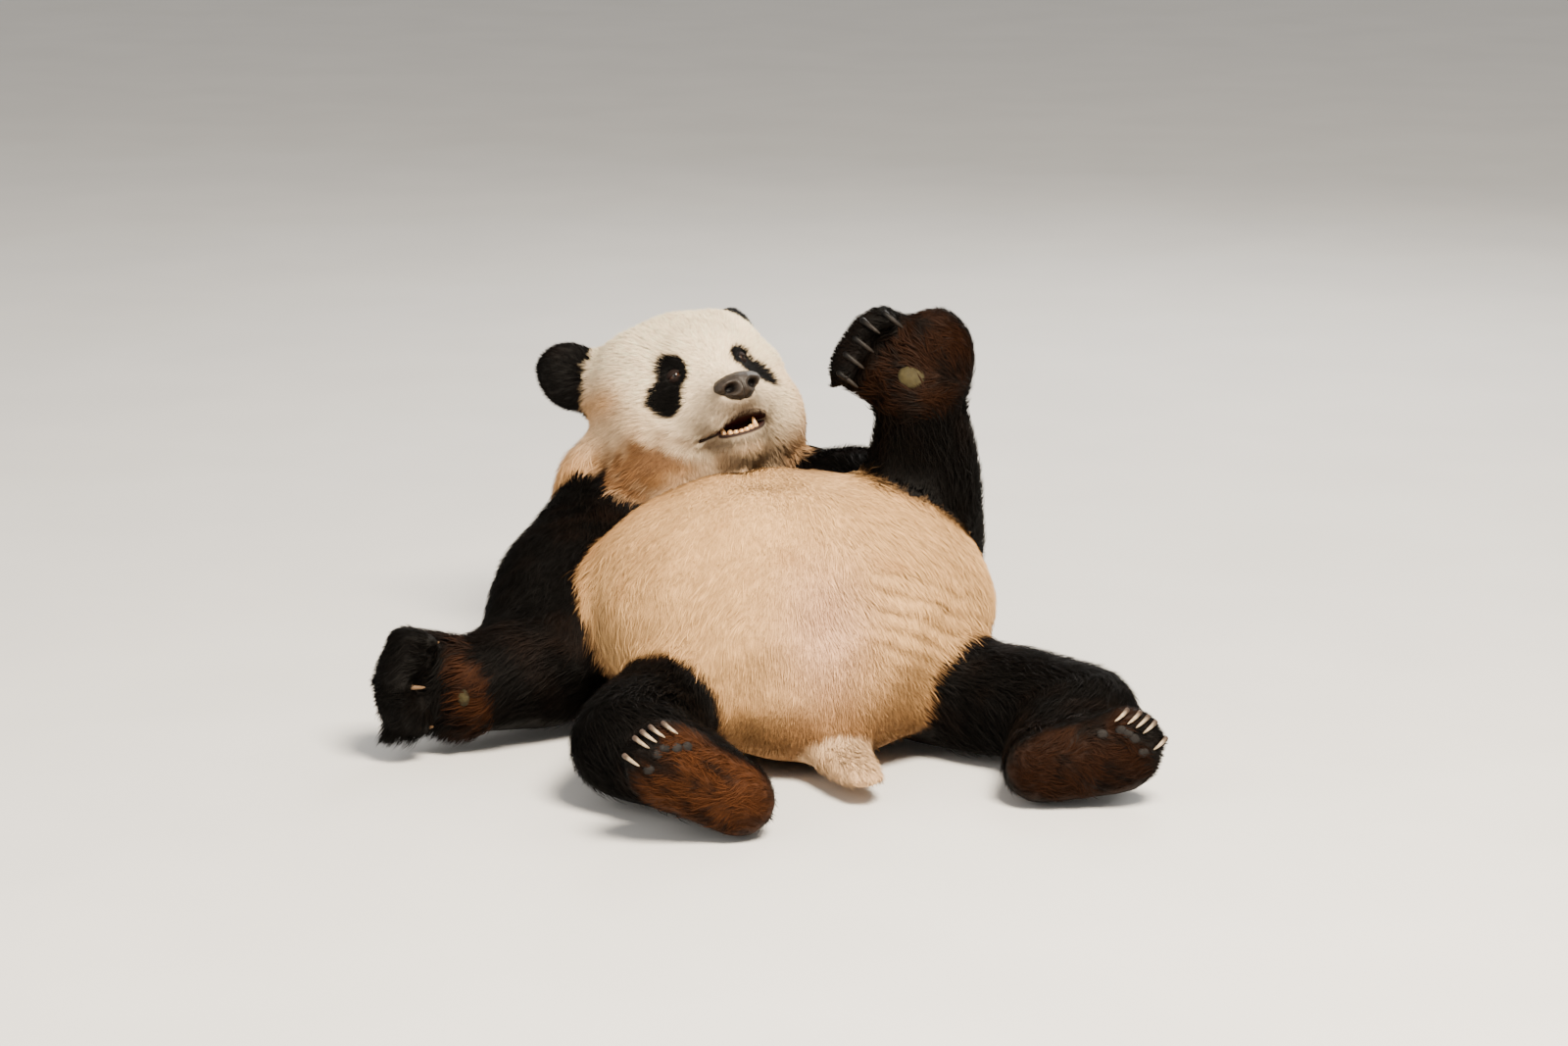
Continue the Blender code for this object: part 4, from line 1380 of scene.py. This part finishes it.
def coat_mesh(name, shapes, facing, colours, places):
    """One mesh of closed strands, with their colours, facing, and patches of the unwrap."""
    count, corners = shapes.shape[:2]
    faces, patch, shade = HAIR_FACES, HAIR_PATCH, HAIR_PAINTED_SHADE
    if corners == len(LOCK_PATCH):
        faces, patch, shade = LOCK_FACES, LOCK_PATCH, LOCK_PAINTED_SHADE
    template = np.concatenate([np.array(face) for face in faces])
    sizes = np.tile([len(face) for face in faces], count)
    loops = (np.arange(count)[:, None] * corners + template).ravel()
    mesh = bpy.data.meshes.new(name)
    mesh.vertices.add(count * corners)
    mesh.vertices.foreach_set("co", shapes.astype(np.float32).ravel())
    mesh.loops.add(len(loops))
    mesh.loops.foreach_set("vertex_index", loops.astype(np.int32))
    mesh.polygons.add(len(sizes))
    mesh.polygons.foreach_set("loop_start", (np.cumsum(sizes) - sizes).astype(np.int32))
    mesh.polygons.foreach_set("use_smooth", [True] * len(mesh.polygons))
    mesh.update(calc_edges=True)
    unwrap = mesh.uv_layers.new(name="OFBake")
    spots = places[:, None, :] + (patch[template] * PATCH)[None, :, :]
    unwrap.data.foreach_set("uv", spots.astype(np.float32).ravel())
    # Each strand's colour is multiplied by the painted shade along it, darker at the root and lighter at the
    # tip.
    paint(mesh, np.clip(colours[:, None, :] * shade[None, :, None], 0.0, BRIGHTEST).reshape(-1, 3))
    mesh.validate()
    mesh.normals_split_custom_set_from_vertices(facing.reshape(-1, 3).astype(np.float32))
    return mesh


def add_coat(roots, shapes, facing, colours, ending, materials):
    """One piece for each part of the body, or several where there are many strands."""
    fronts = to_head(roots["points"])[:, 1]
    groups = [coat_group(FLESH[owner], front) for owner, front in zip(roots["owner"], fronts)]
    groups = np.array(groups)
    triangles = 2 * shapes.shape[1] - 4
    for name in sorted(set(groups)):
        slot = COAT_SLOTS.get(name, "coat_black")
        chosen = np.nonzero(groups == name)[0]
        chosen = chosen[np.argsort(roots["points"][chosen] @ TRUNK_LEFT, kind="stable")]
        parts = math.ceil(len(chosen) * triangles / MOST_TRIANGLES)
        for number, picked in enumerate(np.array_split(chosen, parts)):
            points, normals = roots["points"][picked], roots["normals"][picked]
            places = round_unwrap(points) if name == "face_coat" else box_unwrap(points, normals)
            title = name.replace("coat", ending) + ("" if parts == 1 else f"_{number + 1}")
            mesh = coat_mesh(title, shapes[picked], facing[picked], colours[picked], places)
            mesh.materials.append(materials["pale" if slot in PALE_SLOTS else "dark"])
            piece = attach(linked(title, mesh), BODY)


class PANDA_OT_coat(bpy.types.Operator):
    """Grows the coat over the skin: closed hairs that lie along the body, and locks among them"""

    bl_idname = "panda.coat"
    bl_label = "Coat"

    def execute(self, context):
        sizes = context.scene.panda_sizes
        if "pads" not in _made:
            raise RuntimeError("the skin and the pads are built before the coat")
        skin, tree = _made["skin"], _made["tree"]
        chance = np.random.default_rng(sizes.seed)
        roots = scatter(skin, 1.0, chance)
        roots["leader"] = leaders(roots["points"])
        colours = markings(roots["points"], roots["shares"], roots["normals"])
        tone = chance.uniform(0.84, 1.12, len(colours))
        tone *= 0.90 + 0.20 * chance.uniform(size=len(colours))[roots["leader"]]
        colours = colours * tone[:, None]
        materials = {"dark": coat_material("dark_hair", 0.05), "pale": coat_material("pale_hair", 0.06)}
        shapes, facing = hair_shapes(roots, tree, sizes.hair_width, chance)
        add_coat(roots, shapes, facing, colours, "coat", materials)
        chosen = np.nonzero(chance.uniform(size=len(colours)) < lock_share(roots))[0]
        few = taken(roots, chosen)
        shapes, facing = lock_shapes(few, tree, sizes.lock_width, chance)
        add_coat(few, shapes, facing, colours[chosen], "locks", materials)
        return {"FINISHED"}


# -------- face --------

# The cornea's rise, and how wide it is in shares of the eyeball.
CORNEA_RISE, CORNEA_WIDTH = 0.0009, 0.55

# The eyeball's own colour, then those of iris and pupil, each with the range in which it ends.
EYEBALL = (0.045, 0.022, 0.017)
IRIS_AND_PUPIL = (((0.030, 0.012, 0.006), 0.58, 0.70), ((0.003, 0.002, 0.002), 0.26, 0.36))

# The colour of the nose's leather, the near-black painted shade in its nostrils and wing slits, the edge of
# its mesh, and its forms.
LEATHER, NOSTRIL_SHADE = (0.024, 0.018, 0.014), (0.004, 0.003, 0.003)
NOSE_GRID = 0.0012
NOSTRIL_DEPTH, WING_DEPTH, RIM_HEIGHT, GROOVE_SINK = 0.014, 0.007, 0.0016, 0.0022

# The lower teeth, from right to left: place along the row, share of the full height, and half width.
TEETH = (
    (-0.0240, 1.0, 0.0060),
    (-0.0158, 0.60, 0.0050),
    (-0.0080, 0.50, 0.0050),
    (0.0, 0.46, 0.0050),
    (0.0080, 0.50, 0.0050),
    (0.0158, 0.60, 0.0050),
    (0.0240, 1.20, 0.0060),
)
TEETH_MIDDLE = MOUTH_MIDDLE - 0.006

# How far behind the lip the teeth stand, and a tooth's width at the tip in shares of that at its root.
TOOTH_SET_BACK = 0.0050
POINTED, BLUNT = 0.22, 0.72


def eye_material():
    """A wet eye in its painted colours."""
    finish = Finish("wet_eye", 0.12, Specular_IOR_Level=0.25, Coat_Weight=0.12, Coat_Roughness=0.05)
    finish.colour(finish.marking())
    return finish.material


class PANDA_OT_eyes(bpy.types.Operator):
    """Builds the two eyeballs, each with a raised cornea over its iris and pupil"""

    bl_idname = "panda.eyes"
    bl_label = "Eyes"

    def execute(self, context):
        sizes = context.scene.panda_sizes
        material = eye_material()
        for side, name in EYES.items():
            out, along, over = eye_frame(side)
            bm = bmesh.new()
            bmesh.ops.create_uvsphere(bm, u_segments=48, v_segments=32, radius=sizes.eye_radius)
            for vertex in bm.verts:
                off = math.hypot(vertex.co.x, vertex.co.y) / (CORNEA_WIDTH * sizes.eye_radius)
                if vertex.co.z > 0.0:
                    vertex.co.z += math.exp(-(off**4)) * CORNEA_RISE
            off_axis = np.array([math.hypot(v.co.x, v.co.y) if v.co.z > 0 else 1.0 for v in bm.verts])
            off_axis = off_axis / sizes.eye_radius
            turn = Matrix((along, over, out)).transposed().to_4x4()
            place = eye_centre(_made["tree"], side, sizes)
            bmesh.ops.transform(bm, matrix=Matrix.Translation(place) @ turn, verts=bm.verts)
            colours = rows_of(EYEBALL, len(off_axis))
            for tone, low, high in IRIS_AND_PUPIL:
                colours = mixed(colours, tone, 1.0 - step(low, high, off_axis))
            piece = finished(name.replace("_eye", "_eyeball"), bm, material)
            paint(piece.data, colours)
            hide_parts(name)
        return {"FINISHED"}


def nose_material():
    """Dark wet leather with fine pebbles."""
    finish = Finish("nose_leather", 0.46, Specular_IOR_Level=0.26)
    finish.marked(150.0, 0.65, 1.15)
    finish.bump(finish.pebbles(620.0), 0.5, 0.0006)
    return finish.material


class PANDA_OT_nose(bpy.types.Operator):
    """Builds the nose pad with its nostrils and the groove between them"""

    bl_idname = "panda.nose"
    bl_label = "Nose"

    def execute(self, context):
        bm = voxel_copy(welded_copy("nose"), NOSE_GRID)
        smooth(bm, bm.verts, 0.5, rounds=4)
        points, normals = points_of(bm)
        face = to_head(points)
        low, high = face.min(axis=0), face.max(axis=0)
        across, _, up = ((face - (low + high) / 2.0) / ((high - low) / 2.0)).T
        sink = np.zeros(len(face))
        for side in EYES:
            hole = np.hypot((across - side * 0.46) / 0.29, (up + 0.08) / 0.40)
            wing = np.hypot((across - side * 0.80) / 0.22, (up + 0.34) / 0.16)
            sink += (1.0 - step(0.25, 1.05, hole)) * NOSTRIL_DEPTH
            sink += (1.0 - step(0.2, 1.1, wing)) * WING_DEPTH
            sink -= bump_of(hole - 1.35, 0.30) * RIM_HEIGHT
        sink += bump_of(across, 0.055) * GROOVE_SINK * step(0.25, -0.15, up)
        sink = sink * step(-0.1, 0.4, normals @ HEAD_AXES[1])
        move_to(bm, points - np.outer(sink, HEAD_AXES[1]))
        # Painted shade: the deeper the leather sinks in the nostrils and wing slits, the nearer to black it
        # is painted.
        leather = mixed(rows_of(LEATHER, len(points)), NOSTRIL_SHADE, step(0.003, 0.009, sink))
        piece = finished("nose_leather", bm, nose_material())
        paint(piece.data, leather)
        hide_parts("nose")
        return {"FINISHED"}


def tooth_material():
    """Worn ivory teeth, browner in places."""
    finish = Finish("worn_ivory", 0.30, Subsurface_Weight=0.1, Coat_Weight=0.3)
    tone = finish.noise(160.0, 3.0)
    finish.colour(finish.ramp(tone, (0.35, (0.50, 0.23, 0.075)), (0.70, (0.80, 0.50, 0.24))))
    finish.bump(finish.noise(900.0, 2.0), 0.2, 0.0004)
    return finish.material


class PANDA_OT_teeth(bpy.types.Operator):
    """Builds the lower teeth that the open mouth shows: two side teeth and a row between them"""

    bl_idname = "panda.teeth"
    bl_label = "Teeth"

    def execute(self, context):
        sizes = context.scene.panda_sizes
        teeth = bmesh.new()
        for off, tall, half in TEETH:
            left = TEETH_MIDDLE + off
            _, open_by, middle = mouth_gap(np.array([[left, 0.12, MOUTH_HEIGHT]]))
            floor = middle[0] - open_by[0]
            lip = _made["tree"].ray_cast(from_head(left, 0.30, floor - 0.004), -HEAD_FRONT)[0]
            front = to_head(np.array([lip]))[0][1] - TOOTH_SET_BACK
            height = sizes.tooth_height * tall
            tip = half * (POINTED if tall >= 1.0 else BLUNT)
            tooth = bmesh.new()
            bmesh.ops.create_cone(
                tooth, cap_ends=True, cap_tris=False, segments=12, radius1=half, radius2=tip, depth=height
            )
            bmesh.ops.subdivide_edges(tooth, edges=tooth.edges, cuts=1, use_grid_fill=True)
            place = Matrix.Translation(from_head(left, front, floor + height * 0.5 - 0.0015))
            bmesh.ops.transform(tooth, matrix=place @ HEAD_MATRIX.to_4x4(), verts=tooth.verts)
            pour(tooth, teeth)
        piece = finished("teeth", teeth, tooth_material())
        rounded(piece)
        return {"FINISHED"}


# -------- claws, pads --------

# A claw's share of its size in the frame, how much deeper its root goes, and its colours at root and tip.
CLAW_SIZES = {"hand": 0.92, "foot": 0.75}
CLAW_SINK = 0.0075
CLAW_TONES = {
    "right_hand": ((0.016, 0.010, 0.006), (0.16, 0.095, 0.050)),
    "left_hand": ((0.0025, 0.0022, 0.0020), (0.017, 0.014, 0.012)),
    "right_foot": ((0.060, 0.042, 0.034), (0.44, 0.34, 0.23)),
    "left_foot": ((0.060, 0.042, 0.034), (0.44, 0.34, 0.23)),
}

# The fist's fur nearly hides all of its claws but the third. Those are smaller and go deeper.
HIDDEN_CLAWS = [f"{HANGING}_claw_{number}" for number in (1, 2, 4, 5)]
HIDDEN_SINK = 0.013
HIDDEN_SIZE = 0.75
CLAW_SWELL = 0.0004


def claw_material():
    """Grey-brown horn with streaks along it, paler and worn at places."""
    finish = Finish("claw_horn", 0.48, Specular_IOR_Level=0.11)
    finish.marked(190.0, 0.45, 1.10)
    finish.bump(finish.noise(520.0, 3.0, stretch=(1.0, 1.0, 0.3)), 0.25, 0.0005)
    return finish.material


def claw_ends(claw):
    """The middle of a claw's root, and its tip, the end about which its points lie closest together."""
    points = [v.co.copy() for v in claw.verts]
    middle = sum(points, Vector()) / len(points)
    first = max(points, key=lambda point: (point - middle).length)
    second = max(points, key=lambda point: (point - first).length)
    few = len(points) // 5

    def width(end):
        return sorted((point - end).length for point in points)[few]

    tip = min((first, second), key=width)
    root = sorted(points, key=lambda point: (point - tip).length)[-few:]
    return sum(root, Vector()) / few, tip


class PANDA_OT_claws(bpy.types.Operator):
    """Rounds the twenty claws and gives them horn"""

    bl_idname = "panda.claws"
    bl_label = "Claws"

    def execute(self, context):
        material = claw_material()
        for limb, (root_tone, tip_tone) in CLAW_TONES.items():
            claws = bmesh.new()
            shares = []
            nodes = [f"{limb}_claw_{number}" for number in range(1, 6)]
            for node in nodes:
                claw = welded_copy(node)
                bmesh.ops.subdivide_edges(claw, edges=claw.edges, cuts=1, use_grid_fill=True, smooth=0.6)
                smooth(claw, claw.verts, 0.35)
                base, tip = claw_ends(claw)
                hidden = node in HIDDEN_CLAWS
                size = HIDDEN_SIZE if hidden else CLAW_SIZES[kind_of(limb)]
                inwards = (base - tip).normalized() * (HIDDEN_SINK if hidden else CLAW_SINK)
                reach = (tip - base).length
                for vertex in claw.verts:
                    shares.append((vertex.co - base).dot(tip - base) / reach**2)
                    vertex.co = base + (vertex.co + vertex.normal * CLAW_SWELL - base) * size + inwards
                pour(claw, claws)
            tones = rows_of(root_tone, len(shares))
            tones = mixed(tones, tip_tone, step(0.10, 0.60, np.array(shares)))
            piece = finished(f"{limb}_claws", claws, material)
            paint(piece.data, tones)
            rounded(piece)
            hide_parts(*nodes)
        return {"FINISHED"}


def pad_material():
    """Bare leather in fine folds."""
    finish = Finish("pad_leather", 0.74, Specular_IOR_Level=0.15)
    finish.marked(120.0, 0.70, 1.10)
    finish.bump(finish.noise(700.0, 3.0), 0.5, 0.0007)
    return finish.material


class PANDA_OT_pads(bpy.types.Operator):
    """Builds the bare pads of the wrists and toes, pressed into the skin"""

    bl_idname = "panda.pads"
    bl_label = "Pads"

    def execute(self, context):
        palette = context.scene.panda_colours
        _made["pads"] = pad_places()
        tones = {"pad": np.array(palette.pad), "toe": np.array(palette.toe)}
        bm = bmesh.new()
        colours = []
        for middle, facing, half_width, half_height, turn, tone in _made["pads"]:
            across = Vector((1.0, 0.0, 0.0)) - facing * facing.x
            axes = Matrix((across.normalized(), facing.cross(across).normalized(), facing)).transposed()
            axes = axes @ Matrix.Rotation(turn, 3, "Z")
            thick = PAD_THICKNESS[tone] * (half_width + half_height)
            verts = add_ball(bm, middle, (half_width, half_height, thick), axes, rings=4)
            places = np.array([v.co for v in verts])
            lumps = ripple(places, 0.014, 31) * 0.0007 + ripple(places, 0.006, 33) * 0.0003
            for vertex, lump in zip(verts, lumps):
                vertex.co += facing * lump
            edge = np.linalg.norm(places - np.array(middle), axis=1) / half_width
            colours.append(tones[tone] * (1.0 - 0.45 * step(0.70, 1.0, edge))[:, None])
        piece = finished("pads", bm, pad_material())
        paint(piece.data, np.vstack(colours))
        return {"FINISHED"}


# -------- the stage --------

FLOOR_RADIUS, FLOOR_DROP = 14.0, 0.0005

# The soft lights: name, place, size, power and colour. All look at LIT.
LIGHTS = (
    ("key", (1.1, -2.4, 3.8), 1.5, 880.0, (1.0, 0.88, 0.71)),
    ("fill", (-3.0, -3.0, 2.0), 3.0, 90.0, (1.0, 0.96, 0.90)),
    ("rim", (1.2, 3.4, 2.8), 1.8, 130.0, (1.0, 0.97, 0.92)),
)
LIT = Vector((0.0, 0.1, 0.3))
SURROUND, SURROUND_STRENGTH = (0.96, 0.92, 0.86, 1.0), 0.62

# The point that the camera looks at, and the width of its film in millimetres.
LOOKED_AT = Vector((-0.021, 0.0, 0.327))
FILM_WIDTH = 36.0


def stage_material():
    """Plain pale floor."""
    finish = Finish("pale_floor", 0.8, Specular_IOR_Level=0.2)
    tone = finish.noise(3.0, 2.0)
    finish.colour(finish.ramp(tone, (0.3, (0.60, 0.595, 0.585)), (0.7, (0.63, 0.625, 0.615))))
    return finish.material


def aimed(way):
    """The turn of a lamp or a camera that looks this way."""
    return way.to_track_quat("-Z", "Y").to_euler()


class PANDA_OT_stage(bpy.types.Operator):
    """Sets a plain pale floor, soft lights and the camera"""

    bl_idname = "panda.stage"
    bl_label = "Stage"

    def execute(self, context):
        view = context.scene.panda_view
        bm = bmesh.new()
        bmesh.ops.create_circle(bm, cap_ends=True, cap_tris=False, segments=96, radius=FLOOR_RADIUS)
        bmesh.ops.transform(bm, matrix=Matrix.Translation((0.0, 0.0, -FLOOR_DROP)), verts=bm.verts)
        mesh = bpy.data.meshes.new("floor")
        bm.to_mesh(mesh)
        bm.free()
        mesh.materials.append(stage_material())
        linked("floor", mesh)
        for name, place, size, power, colour in LIGHTS:
            light = bpy.data.lights.new(name, "AREA")
            light.energy = power
            light.size = size
            light.color = colour
            lamp = linked(name, light)
            lamp.location = place
            lamp.rotation_euler = aimed(LIT - Vector(place))
        world = bpy.data.worlds.new("studio")
        context.scene.world = world
        world.use_nodes = True
        background = world.node_tree.nodes["Background"]
        background.inputs["Color"].default_value = SURROUND
        background.inputs["Strength"].default_value = SURROUND_STRENGTH
        back = Vector((0.0, -math.cos(view.elevation), math.sin(view.elevation)))
        camera = linked("camera", bpy.data.cameras.new("camera"))
        camera.data.lens = view.lens
        camera.data.sensor_width = FILM_WIDTH
        camera.location = LOOKED_AT + back * view.distance
        camera.rotation_euler = aimed(-back)
        context.scene.camera = camera
        return {"FINISHED"}


class PANDA_PT_panel(bpy.types.Panel):
    """Lists the operators in the order that they run, and the settings"""

    bl_idname = "PANDA_PT_panel"
    bl_label = "Giant panda"
    bl_space_type = "VIEW_3D"
    bl_region_type = "UI"
    bl_category = "Panda"

    def draw(self, context):
        for operator in OPERATORS:
            self.layout.operator(operator.bl_idname)
        for group in (context.scene.panda_sizes, context.scene.panda_colours, context.scene.panda_view):
            for name in group.bl_rna.properties.keys():
                if name not in ("rna_type", "name"):
                    self.layout.prop(group, name)


OPERATORS = (
    PANDA_OT_skin,
    PANDA_OT_eyes,
    PANDA_OT_nose,
    PANDA_OT_teeth,
    PANDA_OT_claws,
    PANDA_OT_pads,
    PANDA_OT_coat,
    PANDA_OT_stage,
)
GROUPS = (PandaSizes, PandaColours, PandaView)


def register():
    """Registers the settings, operators and panel."""
    for made in (*GROUPS, *OPERATORS, PANDA_PT_panel):
        bpy.utils.register_class(made)
    bpy.types.Scene.panda_sizes = PointerProperty(type=PandaSizes)
    bpy.types.Scene.panda_colours = PointerProperty(type=PandaColours)
    bpy.types.Scene.panda_view = PointerProperty(type=PandaView)


def unregister():
    """Takes all that register adds away."""
    del bpy.types.Scene.panda_view
    del bpy.types.Scene.panda_colours
    del bpy.types.Scene.panda_sizes
    for made in reversed((*GROUPS, *OPERATORS, PANDA_PT_panel)):
        bpy.utils.unregister_class(made)


def main():
    """Builds everything."""
    for leftover in list(bpy.data.objects):
        if leftover.name in ("Cube", "Light", "Camera"):
            bpy.data.objects.remove(leftover)
    register()
    for operator in OPERATORS:
        getattr(bpy.ops.panda, operator.bl_idname.split(".")[1])()


if __name__ == "__main__":
    main()
